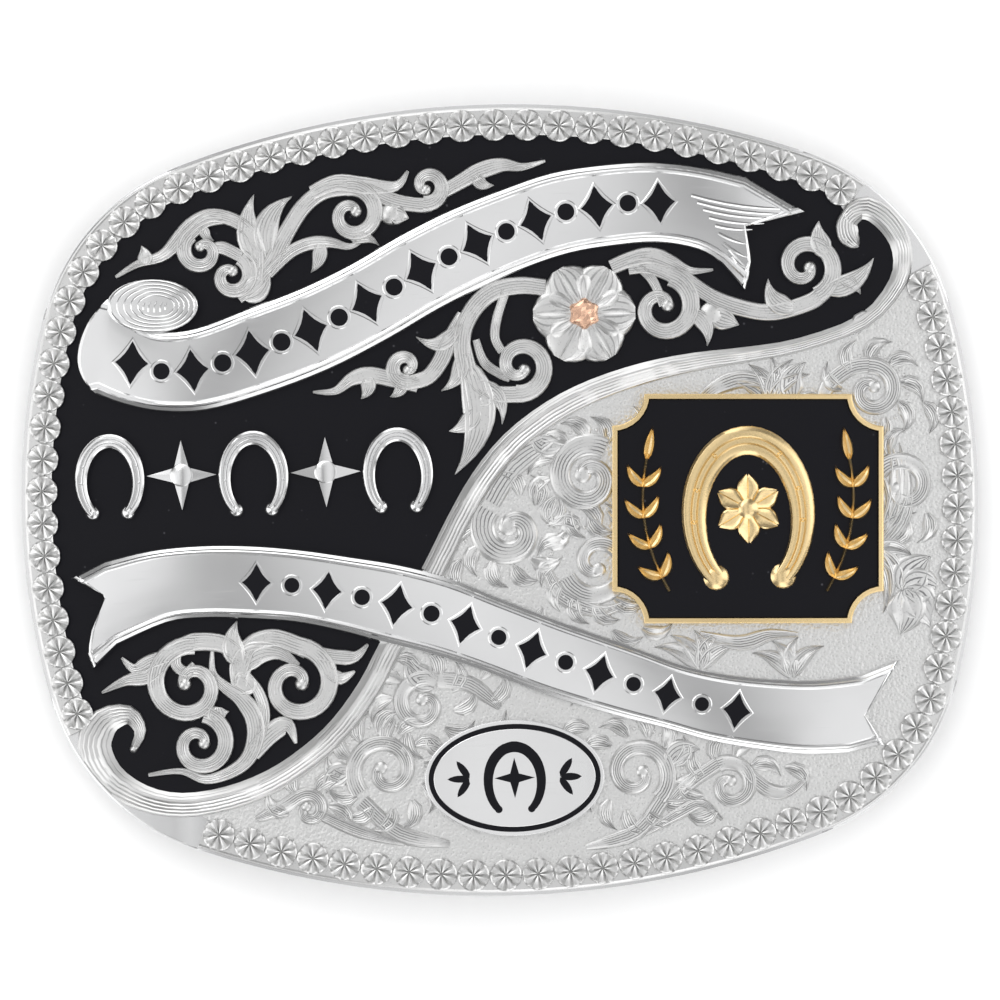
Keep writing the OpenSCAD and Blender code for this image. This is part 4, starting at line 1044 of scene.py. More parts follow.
# Materials
def group(name, inputs, outputs):
    tree = bpy.data.node_groups.new(name, "ShaderNodeTree")
    for label, value in inputs:
        tree.interface.new_socket(label, in_out="INPUT", socket_type="NodeSocketFloat").default_value = value
    for label in outputs:
        tree.interface.new_socket(label, in_out="OUTPUT", socket_type="NodeSocketFloat")
    return tree, tree.nodes.new("NodeGroupInput"), tree.nodes.new("NodeGroupOutput")


def node(tree, kind, values=None, **settings):
    made = tree.nodes.new(kind)
    for key, value in settings.items():
        setattr(made, key, value)
    for key, value in (values or {}).items():
        if isinstance(value, bpy.types.NodeSocket):
            tree.links.new(value, made.inputs[key])
        else:
            made.inputs[key].default_value = value
    return made


def maths(tree, operation, a, b=0.0, clamp=False):
    return node(tree, "ShaderNodeMath", {0: a, 1: b}, operation=operation, use_clamp=clamp).outputs[0]


def band_pass(tree, value, low, high):
    """Runs smoothly from 0 at low to 1 at high."""
    return node(
        tree, "ShaderNodeMapRange", {"Value": value, "From Min": low, "From Max": high},
        interpolation_type="SMOOTHSTEP"
    ).outputs["Result"]


def ranged(tree, value, low, high):
    """Spreads a value from 0 to 1 between low and high."""
    return node(tree, "ShaderNodeMapRange", {"Value": value, "To Min": low, "To Max": high}).outputs["Result"]


def mixed(tree, share, a, b):
    """Mixes two colours, each a socket or plain numbers."""
    mix = node(tree, "ShaderNodeMix", data_type="RGBA")
    tree.links.new(share, mix.inputs[0])
    for slot, value in ((6, a), (7, b)):
        if isinstance(value, bpy.types.NodeSocket):
            tree.links.new(value, mix.inputs[slot])
        else:
            mix.inputs[slot].default_value = (*value, 1)
    return mix.outputs[2]


def object_coords(tree):
    return node(tree, "ShaderNodeTexCoord").outputs["Object"]


def noise(tree, coords, scale, detail=2.0):
    values = {"Vector": coords, "Scale": scale, "Detail": detail}
    return node(tree, "ShaderNodeTexNoise", values).outputs["Fac"]


def cells(tree, coords, scale):
    return node(tree, "ShaderNodeTexVoronoi", {"Vector": coords, "Scale": scale}).outputs["Distance"]


def bumped(tree, height, strength, depth, under=None):
    """A normal raised by a height, on top of the normal under it."""
    values = {"Height": height, "Strength": strength, "Distance": depth}
    if under is not None:
        values["Normal"] = under
    return node(tree, "ShaderNodeBump", values).outputs[0]


def engraved_lines_group():
    """Fine lines cut along a stroke, kept off its polished edges."""
    tree, start, end = group("Engraved lines", [("Lines", 5.0)], ["Height", "Groove"])
    uv = node(tree, "ShaderNodeUVMap", uv_map="along").outputs[0]
    across = node(tree, "ShaderNodeSeparateXYZ", {0: uv}).outputs["Y"]
    coords = object_coords(tree)
    wobble = maths(tree, "MULTIPLY", noise(tree, coords, 500.0, 1.0), 0.07)
    turns = maths(tree, "MULTIPLY", maths(tree, "ADD", across, wobble), start.outputs["Lines"])
    wave = maths(tree, "SINE", maths(tree, "MULTIPLY", turns, 6.2832))
    groove = band_pass(tree, wave, 0.25, 0.95)
    low = band_pass(tree, across, 0.1, 0.18)
    high = band_pass(tree, across, 0.9, 0.82)
    kept = maths(tree, "MULTIPLY", groove, maths(tree, "MULTIPLY", low, high))
    broken = band_pass(tree, noise(tree, coords, 260.0), 0.36, 0.52)
    cut = maths(tree, "MULTIPLY", kept, broken)
    tree.links.new(maths(tree, "SUBTRACT", 1.0, cut), end.inputs["Height"])
    tree.links.new(cut, end.inputs["Groove"])
    return tree


def stipple_group():
    """Small punched dents all over a frosted ground, each darkened by a painted shade."""
    tree, start, end = group("Stipple", [("Scale", 2600.0)], ["Height", "Dent"])
    coords = object_coords(tree)
    dents = cells(tree, coords, start.outputs["Scale"])
    grain = maths(tree, "MULTIPLY", noise(tree, coords, 5200.0), 0.6)
    tree.links.new(maths(tree, "ADD", dents, grain), end.inputs["Height"])
    tree.links.new(band_pass(tree, dents, 0.32, 0.08), end.inputs["Dent"])
    return tree


def wear_group():
    """Hairline scratches and soft patches of handling."""
    tree, start, end = group("Wear", [("Scratches", 0.5)], ["Height", "Haze"])
    coords = object_coords(tree)
    lines = []
    for turn in (0.5, 2.1):
        turned = node(
            tree, "ShaderNodeMapping", {"Vector": coords, "Rotation": (0, 0, turn), "Scale": (1.0, 14.0, 1.0)}
        ).outputs[0]
        lines.append(band_pass(tree, noise(tree, turned, 190.0, 3.0), 0.64, 0.72))
    scratches = maths(tree, "MULTIPLY", maths(tree, "MAXIMUM", *lines), start.outputs["Scratches"])
    patches = noise(tree, coords, 90.0, 4.0)
    tree.links.new(maths(tree, "SUBTRACT", 1.0, scratches), end.inputs["Height"])
    haze = maths(tree, "ADD", maths(tree, "MULTIPLY", scratches, 0.4), patches, clamp=True)
    tree.links.new(haze, end.inputs["Haze"])
    return tree


def dust_group():
    """Sparse specks of dust."""
    tree, start, end = group("Dust", [("Scale", 900.0)], ["Speck"])
    coords = object_coords(tree)
    specks = band_pass(tree, cells(tree, coords, start.outputs["Scale"]), 0.16, 0.05)
    few = band_pass(tree, noise(tree, coords, 330.0), 0.58, 0.7)
    tree.links.new(maths(tree, "MULTIPLY", specks, few), end.inputs["Speck"])
    return tree


def effect(tree, name, values=None):
    """Places a node group in a material, and builds it the first time."""
    makers = {
        "Engraved lines": engraved_lines_group,
        "Stipple": stipple_group,
        "Wear": wear_group,
        "Dust": dust_group
    }
    found = bpy.data.node_groups.get(name) or makers[name]()
    return node(tree, "ShaderNodeGroup", values, node_tree=found)


def blank(name):
    """A new material with its tree and its shader."""
    made = bpy.data.materials.new(name)
    made.use_nodes = True
    return made, made.node_tree, made.node_tree.nodes["Principled BSDF"]


def shaded(colour, share):
    return [c * share for c in colour]


def surfaced(tree, shader, tint, roughness, normal):
    for label, value in (("Base Color", tint), ("Roughness", roughness), ("Normal", normal)):
        tree.links.new(value, shader.inputs[label])


def new_metal(name, colour, rough, haze, kept=1.0, cut=None, lines=None, stipple=None, dent_depth=0.00002,
              scratches=0.5, groove_share=0.8):
    """A metal finish: colour, roughness from handling, and engraved lines or stipple where asked for; the
    stipple's dents get a painted shade.
    """
    made, tree, shader = blank(name)
    shader.inputs["Metallic"].default_value = 1.0
    colour = shaded(getattr(colours(), colour), kept)
    # dark is the colour deep in the engraved lines, and also the painted shade laid into the stipple's dents
    dark = colours().groove if cut is None else shaded(colour, cut)
    wear = effect(tree, "Wear", {"Scratches": scratches})
    tint = mixed(tree, ranged(tree, wear.outputs["Haze"], 0.0, 0.5), colour, shaded(colour, 0.86))
    roughness = ranged(tree, wear.outputs["Haze"], rough, rough + haze)
    bump = bumped(tree, wear.outputs["Height"], 0.35, 0.000006)
    if stipple:
        dots = effect(tree, "Stipple", {"Scale": stipple})
        # Painted shade: each stipple dent is darkened towards the dark colour
        tint = mixed(tree, maths(tree, "MULTIPLY", dots.outputs["Dent"], 0.3), tint, dark)
        bump = bumped(tree, dots.outputs["Height"], 0.7, dent_depth, bump)
    if lines:
        cuts = effect(tree, "Engraved lines", {"Lines": lines})
        tint = mixed(tree, maths(tree, "MULTIPLY", cuts.outputs["Groove"], groove_share), tint, dark)
        bump = bumped(tree, cuts.outputs["Height"], 0.9, LINE_DEPTH, bump)
    surfaced(tree, shader, tint, roughness, bump)
    return made


def metal(name):
    """The metal finish of a name, made when it is first asked for."""
    label = name + "_finish"
    return bpy.data.materials.get(label) or new_metal(label, **METALS[name])


def black_enamel():
    """The black enamel, worn and a little dusty, made when it is first asked for."""
    found = bpy.data.materials.get("black_enamel_finish")
    if found:
        return found
    made, tree, shader = blank("black_enamel_finish")
    shader.inputs["Specular IOR Level"].default_value = 0.15
    wear = effect(tree, "Wear", {"Scratches": 0.8})
    dust = effect(tree, "Dust")
    base = colours().enamel
    tint = mixed(tree, ranged(tree, wear.outputs["Haze"], 0.0, 0.6), base, shaded(base, 1.5))
    tint = mixed(tree, maths(tree, "MULTIPLY", dust.outputs["Speck"], 0.3), tint, (0.16, 0.16, 0.18))
    roughness = ranged(tree, wear.outputs["Haze"], 0.42, 0.62)
    surfaced(tree, shader, tint, roughness, bumped(tree, wear.outputs["Height"], 0.4, 0.000008))
    return made


# Each piece or group of like pieces has its operator
class BuildBase(bpy.types.Operator):
    """Build the bent base plate with its softened edge"""

    bl_idname = "buckle.base"
    bl_label = "Base plate"

    def execute(self, context):
        low = -mm(shape().plate)
        part = slab(rim_outline(0, 1.2), low, 0, bevel=0.28, segments=3, strip=2.5)
        silver = metal("plate_silver")
        piece("base_plate_dressed", [part], silver, ["base_plate"], sharp=12)
        return {"FINISHED"}


def star_round(mid, turn):
    """One round of the edge: a disc cut into eight rounded petals."""
    bm = fresh()
    h = heights()
    r = mm(shape().round_radius)
    low, high = mm(h.seat), mm(h.rounds)
    rings = len(ROUND_RINGS) - 1
    bmesh.ops.create_grid(bm, x_segments=ROUND_SPOKES, y_segments=rings, size=1)
    for v in bm.verts:
        spoke = round((v.co.x + 1) * ROUND_SPOKES / 2) % ROUND_SPOKES
        petal, cut, petal_rise, cut_rise = ROUND_RINGS[round((v.co.y + 1) * rings / 2)]
        share = SPOKE_SHARES[spoke % 4]
        reach = petal + (cut - petal) * share
        rise = petal_rise + (cut_rise - petal_rise) * share
        v.co = place(mid + r * reach * ray(turn + 360 * spoke / ROUND_SPOKES), low + (high - low) * rise)
    bmesh.ops.remove_doubles(bm, verts=bm.verts, dist=0.000001)
    return bm


def round_mid(i, count):
    return rim_point(sum(rim_lengths()) * (i + ROUND_SHIFT) / count, mm(shape().round_inset))


def settled(i, way, count):
    """Moves the end of a run of rounds on until its last round hardly touches the dividing band."""
    path = band_path()
    wide = band_widths(path)
    for step in range(8):
        mid = round_mid(i, count)
        if min((p - mid).length - w / 2 for p, w in zip(path, wide)) > mm(shape().round_radius) - ROUND_LAP:
            return i
        i += way
    return i


class BuildEdge(bpy.types.Operator):
    """Build both runs of star-cut rounds on their ring"""

    bl_idname = "buckle.edge"
    bl_label = "Star-cut edge"

    def execute(self, context):
        s = shape()
        path = sum(rim_lengths())
        count = round(path / mm(s.round_pitch))
        if count < 20:
            raise RuntimeError("The rounds are too far apart for an edge")
        first = round(count * RUN_START)
        half = count // 2
        outer, inner = mm(s.ring_margin), mm(s.ring_width)
        low, high = mm(heights().seat), mm(heights().ring)
        turns = random.Random(7)
        for name, start, stop in (
            ("star_cut_edge_upper", first, first + half - ROUNDS_LEFT_OUT - 1),
            ("star_cut_edge_lower", first + half, first + count - ROUNDS_LEFT_OUT - 1),
        ):
            start, stop = settled(start, 1, count), settled(stop, -1, count)
            n = (stop - start + 1) * 6
            spots = [
                path * (start + ROUND_SHIFT - 0.5 + (stop - start + 1) * i / n) / count for i in range(n + 1)
            ]
            across = [v for v, share in RING_SECTION]
            columns = [[rim_point(p, outer + (inner - outer) * v) for v in across] for p in spots]
            tops = [[low + (high - low) * share for v, share in RING_SECTION] for p in spots]
            parts = [loft(columns, tops, low, across)]
            for i in range(start, stop + 1):
                mid = round_mid(i, count)
                parts.append(star_round(mid, bearing(mid) + turns.uniform(-5, 5)))
            piece(name + "_dressed", parts, metal("star_cut_silver"), [name], sharp=18)
        return {"FINISHED"}


def band_path():
    return curve(all_on_face(BAND_LINE), BAND_STEPS)


def stretch(t, spot):
    """1 in the middle of a stretch, which is given by its place and length, and 0 away from it."""
    return math.exp(-(((t - spot[0]) / spot[1]) ** 2))


def band_widths(path):
    """The band's width at each point: pointed ends, a thin stretch and a swelling."""
    last = len(path) - 1
    out = []
    for i in range(last + 1):
        t = i / last
        share = min(BAND_TIP + (1 - BAND_TIP) * min(t / 0.06, (1 - t) / 0.1), 1)
        share *= 1 - (1 - BAND_THIN) * stretch(t, BAND_THIN_AT)
        share *= 1 + (BAND_SWELL - 1) * stretch(t, BAND_SWELL_AT)
        out.append(mm(shape().band) * share)
    return out


def side_outline(inset, panel):
    """One side of the dividing band: the panel's on its right or the enamel's on its left. The plate stays
    bare in the two corners outside the band's volutes."""
    path = band_path()[PANEL_SPAN] if panel else band_path()[ENAMEL_SPAN][::-1]
    start, stop = [bearing(p) for p in all_on_face(PANEL_ENDS if panel else ENAMEL_ENDS)]
    rim = [((bearing(p) - start) % 360, i, p) for i, p in enumerate(rim_outline(inset, 1.0))]
    return [p for angle, i, p in sorted(rim) if angle < (stop - start) % 360] + path


class BuildGrounds(bpy.types.Operator):
    """Build the black enamel and the frosted ground of the panel"""

    bl_idname = "buckle.grounds"
    bl_label = "Enamel and panel"

    def execute(self, context):
        h = heights()
        low, ground, leaves = mm(h.seat), mm(h.panel), mm(h.relief)
        enamel = slab(side_outline(off_ring(UNDER_RING), False), low, mm(h.enamel), strip=2.5)
        piece("black_field_dressed", [enamel], black_enamel(), ["black_field"])
        frosted = slab(side_outline(off_ring(UNDER_RING), True), low, ground, strip=2.5)
        piece("panel_ground_dressed", [frosted], metal("frosted_silver"))
        relief = spray(
            PANEL_VINES, PANEL_VOLUTES, PANEL_LEAVES, [], mm(shape().relief_stem), ground - 0.06,
            leaves + 0.1, RELIEF_SECTION, off_ring(STEMS_OFF_RING)
        )
        relief += self.beads(ground - 0.03, leaves - 0.04)
        relief += self.filling(side_outline(off_ring(LEAVES_OFF_RING), True), ground - 0.05, leaves + 0.06)
        piece("panel_leaves_dressed", relief, metal("leaf_silver"), ["engraved_panel"])
        return {"FINISHED"}

    def beads(self, low, high):
        """Rows of beads round the curls."""
        parts = []
        for mid, r, start, sweep in BEAD_ROWS:
            n = int(r * abs(math.radians(sweep)) / BEAD_PITCH)
            for i in range(n + 1):
                a = math.radians(start + sweep * i / n)
                spot = on_face((mid[0] + r * math.cos(a), mid[1] - r * math.sin(a)))
                parts.append(dome(spot, BEAD_RADIUS, low, high, 8))
        return parts

    def filling(self, outline, low, high):
        """Small leaves along the curls, and more of them where the ground beside these is still free."""
        parts = []
        taken = [on_face(p) for row in PANEL_VINES for p in row[3]]

        def blade(root, tip, bow, wide, top):
            steps = 5 if (tip - root).length < 4 else 9
            path = bowed(root, tip, -bow, steps)
            parts.append(stroke(path, leaf_widths(steps, wide), LEAF_SECTION, low, top))
            taken.extend(path[1::2])
        curls = []
        long, wide = CURL_LEAF
        for centre, radius, _, start, sweep, _ in PANEL_VOLUTES:
            mid = on_face(centre)
            reach = squares(radius) + CURL_GAP
            way = 1 if sweep > 0 else -1
            curls.append((mid, reach, way))
            n = round(math.tau * reach / CURL_LEAF_PITCH)
            for i in range(n):
                out = ray(start + 360 * i / n)
                root = mid + out * reach
                tip = root + long * (out * 0.5 + way * left_of(out) * 0.86)
                if inside(outline, root) and inside(outline, tip):
                    blade(root, tip, SMALL_BOW * way, wide, high)
        for root, tips in PANEL_FANS:
            for i, tip in enumerate(tips):
                bow = FAN_BOW if 2 * i < len(tips) else -FAN_BOW
                blade(on_face(root), on_face(tip), bow, FAN_LEAF_WIDTH, high + 0.03)
        jitter = random.Random(5)
        long, wide = FREE_LEAF
        near, far = FREE_REACH
        half_w, half_h = mm(shape().width) / 2, mm(shape().height) / 2
        for row in range(int(2 * half_h / FREE_ROWS)):
            for column in range(int(2 * half_w / FREE_COLUMNS)):
                x = FREE_COLUMNS * (column + 0.5 * (row % 2)) - half_w
                y = FREE_ROWS * row - half_h
                x += jitter.uniform(-FREE_SHIFT, FREE_SHIFT)
                y += jitter.uniform(-FREE_SHIFT, FREE_SHIFT)
                root = Vector((x, y))
                mid, reach, way = min(curls, key=lambda curl: (curl[0] - root).length - curl[1])
                out = (root - mid).normalized()
                tip = root + long * (out * 0.4 + way * left_of(out) * 0.9)
                away = (mid - root).length - reach
                clear = near < away < far and min((p - (root + tip) / 2).length for p in taken) > FREE_GAP
                if clear and inside(outline, root) and inside(outline, tip):
                    blade(root, tip, SMALL_BOW * way, wide, high - 0.03)
        return parts


class BuildBand(bpy.types.Operator):
    """Build both pieces of the S-shaped dividing band"""

    bl_idname = "buckle.band"
    bl_label = "Dividing band"

    def execute(self, context):
        path = band_path()
        wide = band_widths(path)
        top, low = edges(LOWER_RIBBON)
        outline = top + low[::-1]
        hidden = [i for i, p in enumerate(path) if inside(outline, p)]
        if not hidden:
            raise RuntimeError("The band doesn't pass under the lower ribbon")
        base, high = mm(heights().seat), mm(heights().band)
        for name, run in (
            ("dividing_band_upper", slice(0, hidden[0] + 1)),
            ("dividing_band_lower", slice(hidden[-1], len(path)))
        ):
            end = 0 if run.start == 0 else len(path) - 1
            parts = [
                stroke(path[run], wide[run], BAND_SECTION, base, high, mm(shape().ring_margin) + 0.05),
                dome(path[end], wide[end] * 0.62, base, base + (high - base) * 0.9, 20)
            ]
            if end == 0:
                hook = curve(all_on_face(BAND_HOOK))
                widths = [mm(shape().band) * share for share in HOOK_WIDTHS]
                parts.append(stroke(hook, widths, BAND_SECTION, base, high - 0.02))
            piece(name + "_dressed", parts, metal("band_silver"), [name], sharp=24)
        return {"FINISHED"}


class BuildRibbons(bpy.types.Operator):
    """Build both ribbons with their raised edges, tails, rolled end and enamel marks"""

    bl_idname = "buckle.ribbons"
    bl_label = "Ribbons"

    def execute(self, context):
        high = mm(heights().ribbon)
        upper_tail = (all_on_face(UPPER_TAIL), [0, 0.5, 0.8, 1])
        left_tail = (all_on_face(LOWER_LEFT_TAIL), [0, 0.38, 0.7, 0.85, 1])
        right_tail = (all_on_face(LOWER_RIGHT_TAIL), [0, 0.6, 1])
        start = evenly(curve(all_on_face(UPPER_START), 4))
        upper = [ribbon(UPPER_RIBBON, start, START_RIM, upper_tail, high, 10)]
        lower = [ribbon(LOWER_RIBBON, left_tail, TAIL_RIM, right_tail, high)]
        for a, b in TAIL_BARS:
            path = bowed(on_face(a), on_face(b), -0.04, 6)
            upper.append(stroke(path, TAIL_BAR_WIDTHS, BAR_SECTION, high - 0.35, high - 0.03))
        upper += self.roll(high)
        for rows, marks, parts, name in (
            (UPPER_RIBBON, UPPER_MARKS, upper, "upper_ribbon"),
            (LOWER_RIBBON, LOWER_MARKS, lower, "lower_ribbon")
        ):
            for outline in mark_outlines(rows, marks, MARK_RIM):
                parts.append(slab(outline, high - 0.4, high, bevel=0.12, rim=0.16, depth=0.1))
            piece(name + "_dressed", parts, metal("polished_silver"), [name], sharp=12)
            black = [
                slab(outline, high - 0.2, high - 0.03, bevel=0.02, segments=1)
                for outline in mark_outlines(rows, marks, MARK_LAP)
            ]
            piece(name + "_enamel_dressed", black, black_enamel(), [name + "_enamel"])
        return {"FINISHED"}

    def roll(self, high):
        """The rolled end of the upper ribbon: an oval with the ribbon's turns seen on edge."""
        mid = Vector(UPPER_ROLL[0])
        half = Vector(UPPER_ROLL[1])

        def oval(share, shift):
            return all_on_face([
                (mid.x + shift + half.x * share * math.cos(a), mid.y + half.y * share * math.sin(a))
                for a in [math.tau * i / 36 for i in range(36)]
            ])
        parts = [slab(oval(1, 0), mm(heights().seat), high - 0.1, bevel=0.22, segments=3)]
        for share, shift, wide in ROLL_TURNS:
            turn = oval(share, shift)
            turn += turn[:2]
            top = high - 0.05 * (share < 0.9)
            parts.append(stroke(turn, [wide] * len(turn), BAR_SECTION, high - 0.3, top))
        for dx, dy, long in ROLL_CUTS:
            root = on_face((mid.x + dx, mid.y + dy))
            tip = on_face((mid.x + dx + long * 0.3, mid.y + dy - long))
            cut = bowed(root, tip, 0.1, 6)
            parts.append(stroke(cut, ROLL_CUT_WIDTHS, BAR_SECTION, high - 0.3, high - 0.03))
        return parts


class BuildScrolls(bpy.types.Operator):
    """Build the four sawn scroll overlays"""

    bl_idname = "buckle.scrolls"
    bl_label = "Scrolls"

    def execute(self, context):
        low, high = mm(heights().scroll_low), mm(heights().scroll)
        stem = mm(shape().stem)
        for name, tables in (
            ("scroll_top", (TOP_VINES, TOP_VOLUTES, TOP_LEAVES, TOP_BUDS)),
            ("scroll_centre_left", (LEFT_VINES, LEFT_VOLUTES, LEFT_LEAVES, [])),
            ("scroll_centre_right", (RIGHT_VINES, RIGHT_VOLUTES, RIGHT_LEAVES, RIGHT_BUDS)),
            ("scroll_lower", (LOWER_VINES, LOWER_VOLUTES, LOWER_LEAVES, []))
        ):
            parts = spray(*tables, stem, low, high, SCROLL_SECTION, off_ring(OFF_RING))
            piece(name + "_dressed", parts, metal("engraved_silver"), [name])
        return {"FINISHED"}


class BuildBlossom(bpy.types.Operator):
    """Build the blossom with its ridged petals and rose gold centre"""

    bl_idname = "buckle.blossom"
    bl_label = "Blossom"

    def execute(self, context):
        mid = on_face(BLOSSOM_MID)
        r = mm(shape().blossom)
        low, high = mm(heights().scroll_low), mm(heights().blossom)
        parts = [disc(mid, r * 0.52, low, high - 0.35, 0.1, 30)]
        wide = [r * share for share in PETAL_WIDTHS]
        for k in range(PETALS):
            way = ray(60 * k)
            path = [mid + way * r * (0.2 + 0.8 * i / 9) for i in range(10)]
            parts.append(stroke(path, wide, PETAL_SECTION, low, high - 0.012 * (k % 2)))
            gap = ray(60 * k + 30)
            sepal = [mid + gap * r * (0.3 + 0.52 * i / 6) for i in range(7)]
            parts.append(stroke(sepal, SEPAL_WIDTHS, SCROLL_SECTION, low, high - 0.3))
        piece("blossom_dressed", parts, metal("engraved_silver"), ["blossom"])
        centre_r = mm(shape().blossom_centre)
        centre_high = mm(heights().centre)
        base = high - 0.45
        jitter = random.Random(11)
        bm = fresh()
        bmesh.ops.create_icosphere(bm, subdivisions=3, radius=1)
        upper_half(bm)
        for v in bm.verts:
            a = math.atan2(v.co.y, v.co.x)
            lobe = centre_r * (0.88 + 0.1 * math.cos(6 * (a - math.radians(30))))
            rise = min(1, v.co.z * 1.7) * (1 - 0.22 * jitter.random()) if v.co.z > 0.01 else 0
            v.co = place((mid.x + v.co.x * lobe, mid.y + v.co.y * lobe), base + rise * (centre_high - base))
        rose = metal("rose_gold")
        piece("blossom_centre_dressed", [bm], rose, ["blossom_centre"], smooth=False)
        return {"FINISHED"}


class BuildMotifs(bpy.types.Operator):
    """Build the row of five raised motifs"""

    bl_idname = "buckle.motifs"
    bl_label = "Raised motifs"

    def execute(self, context):
        first, last, count = on_face(MOTIF_ROW[0]), on_face(MOTIF_ROW[1]), MOTIF_ROW[2]
        h, wide = mm(shape().motif), mm(shape().motif_stroke)
        low, high = mm(heights().scroll_low), mm(heights().motif)
        for i in range(count):
            mid = first + (last - first) * i / (count - 1)
            if i % 2 == 0:
                parts = horseshoe(mid, h, wide, low, high)
            else:
                parts = star(mid, h * 0.82, wide * 0.9, low, high)
            name = "raised_motif_%d" % (i + 1)
            piece(name + "_dressed", parts, metal("polished_silver"), [name])
        return {"FINISHED"}


def level(p):
    """A point turned as the buckle lies, so that what is level on the sheet stays level."""
    a = math.radians(-SHEET_TURN)
    return Vector((p[0] * math.cos(a) - p[1] * math.sin(a), p[0] * math.sin(a) + p[1] * math.cos(a)))


def plaque_outline(inset):
    """The gold plaque's outline: a rectangle with a scoop at each corner, level on the sheet."""
    s = shape()
    mid = on_face(EMBLEM_MID)
    half_w, half_h = mm(s.plaque_width) / 2, mm(s.plaque_height) / 2
    scoop = mm(s.plaque_scoop) + inset
    reach = math.degrees(math.asin(inset / scoop))
    out = []
    for x, y, start in ((1, 1, 270), (-1, 1, 360), (-1, -1, 90), (1, -1, 180)):
        for i in range(9):
            a = start - reach - (90 - 2 * reach) * i / 8
            out.append(mid + level(Vector((x * half_w, y * half_h)) + scoop * ray(a)))
    return out


class BuildPlaque(bpy.types.Operator):
    """Build the gold plaque with its enamel, horseshoe, flower and sprigs"""

    bl_idname = "buckle.plaque"
    bl_label = "Gold plaque"

    def execute(self, context):
        s, h = shape(), heights()
        mid = on_face(EMBLEM_MID)
        rim_w = mm(s.plaque_rim)
        rim, floor = mm(h.plaque_rim), mm(h.plaque_floor)
        body = slab(
            plaque_outline(0), mm(h.seat), rim, bevel=0.16, segments=3, rim=rim_w - 0.3, depth=rim - floor
        )
        piece("emblem_plaque_dressed", [body], metal("gold"), ["emblem_plaque"], sharp=12)
        enamel = slab(plaque_outline(rim_w), floor, mm(h.plaque_enamel))
        piece("emblem_enamel_dressed", [enamel], black_enamel(), ["emblem_enamel"])
        low, high = floor + 0.05, mm(h.plaque_motif)
        tall = mm(s.plaque_height)
        parts = horseshoe(mid, tall * 0.7, tall * 0.105, low, high)
        for k in range(6):
            way = ray(60 * k + 30)
            path = [mid + way * tall * (0.03 + 0.12 * i / 7) for i in range(8)]
            wide = [tall * 0.1 * share for share in FLOWER_WIDTHS]
            parts.append(stroke(path, wide, PETAL_SECTION, low, high - 0.15 - 0.012 * (k % 2)))
        parts.append(dome(mid, tall * 0.055, low, high, 16))
        for x in (-1, 1):
            parts += self.sprig(mid, x, low, high)
        piece("emblem_motif_dressed", parts, metal("gold"), ["emblem_motif"])
        return {"FINISHED"}

    def sprig(self, mid, x, low, high):
        """A leafy sprig on the right of the horseshoe, or on its left where x is -1."""
        wide, tall = mm(shape().plaque_width), mm(shape().plaque_height)
        long = tall * 0.12
        root = Vector((x * wide * 0.29, -tall * 0.36))
        tip = Vector((x * wide * 0.37, tall * 0.24))
        path = [mid + level(p) for p in bowed(root, tip, -0.1 * x, 9)]
        parts = [stroke(path, [0.45] * 10, BAR_SECTION, low, high - 0.12)]
        for i in range(1, 9, 2):
            out = along(path, i)
            for side in (-1, 1):
                end = path[i] + (0.75 * out + side * 0.62 * left_of(out)) * long
                parts.append(leaf(path[i], end, side * 0.1, long * 0.46, RELIEF_SECTION, low, high - 0.05))
        way = along(path, 9) * long
        foot = path[9] - way * 0.2
        parts.append(leaf(foot, path[9] + way, 0, long * 0.45, RELIEF_SECTION, low, high - 0.05))
        return parts


class BuildOval(bpy.types.Operator):
    """Build the oval plaque with its black line and black motifs"""

    bl_idname = "buckle.oval"
    bl_label = "Oval plaque"

    def execute(self, context):
        s = shape()
        mid = on_face(OVAL_MID)
        rx, ry = mm(s.oval_half_width), mm(s.oval_half_height)
        high = mm(heights().oval)

        def outline(inset):
            return [
                mid + Vector(((rx - inset) * math.cos(a), (ry - inset) * math.sin(a)))
                for a in [math.tau * i / 72 for i in range(72)]
            ]
        margin, line = mm(s.oval_margin), mm(s.oval_line)
        parts = [
            slab(outline(0), mm(heights().seat), high, bevel=0.14, segments=3, rim=margin - 0.16, depth=0.28),
            slab(outline(margin + line), high - 0.34, high, bevel=0.06)
        ]
        silver = metal("polished_silver")
        piece("oval_plaque_dressed", parts, silver, ["oval_plaque"], sharp=12)
        ring = slab(outline(margin), high - 0.3, high - 0.05, rim=line - 0.02, depth=0.2)
        piece("oval_line_dressed", [ring], black_enamel(), ["oval_line"])
        h = ry * 1.35
        low, top = high - 0.1, high + 0.03
        parts = horseshoe(mid, h, h * 0.2, low, top, BAR_SECTION, nails=False)
        parts.append(slab(star_points(mid, h * 0.26, h * 0.08), low, top))
        for x in (-1, 1):
            for turn in (-55, 0, 55):
                root = mid + Vector((x * rx * 0.5, 0))
                tip = root + x * rx * 0.3 * ray(turn)
                parts.append(leaf(root, tip, 0, ry * 0.22, BAR_SECTION, low, top))
        piece("oval_motif_dressed", parts, black_enamel(), ["oval_motif"])
        return {"FINISHED"}


class FinishBack(bpy.types.Operator):
    """Give the belt loop and the hook post their nickel finish"""

    bl_idname = "buckle.back"
    bl_label = "Loop and post"

    def execute(self, context):
        for name in ("belt_loop", "hook_post"):
            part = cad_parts[name]
            part.data.materials.clear()
            part.data.materials.append(metal("nickel_wire"))
        return {"FINISHED"}


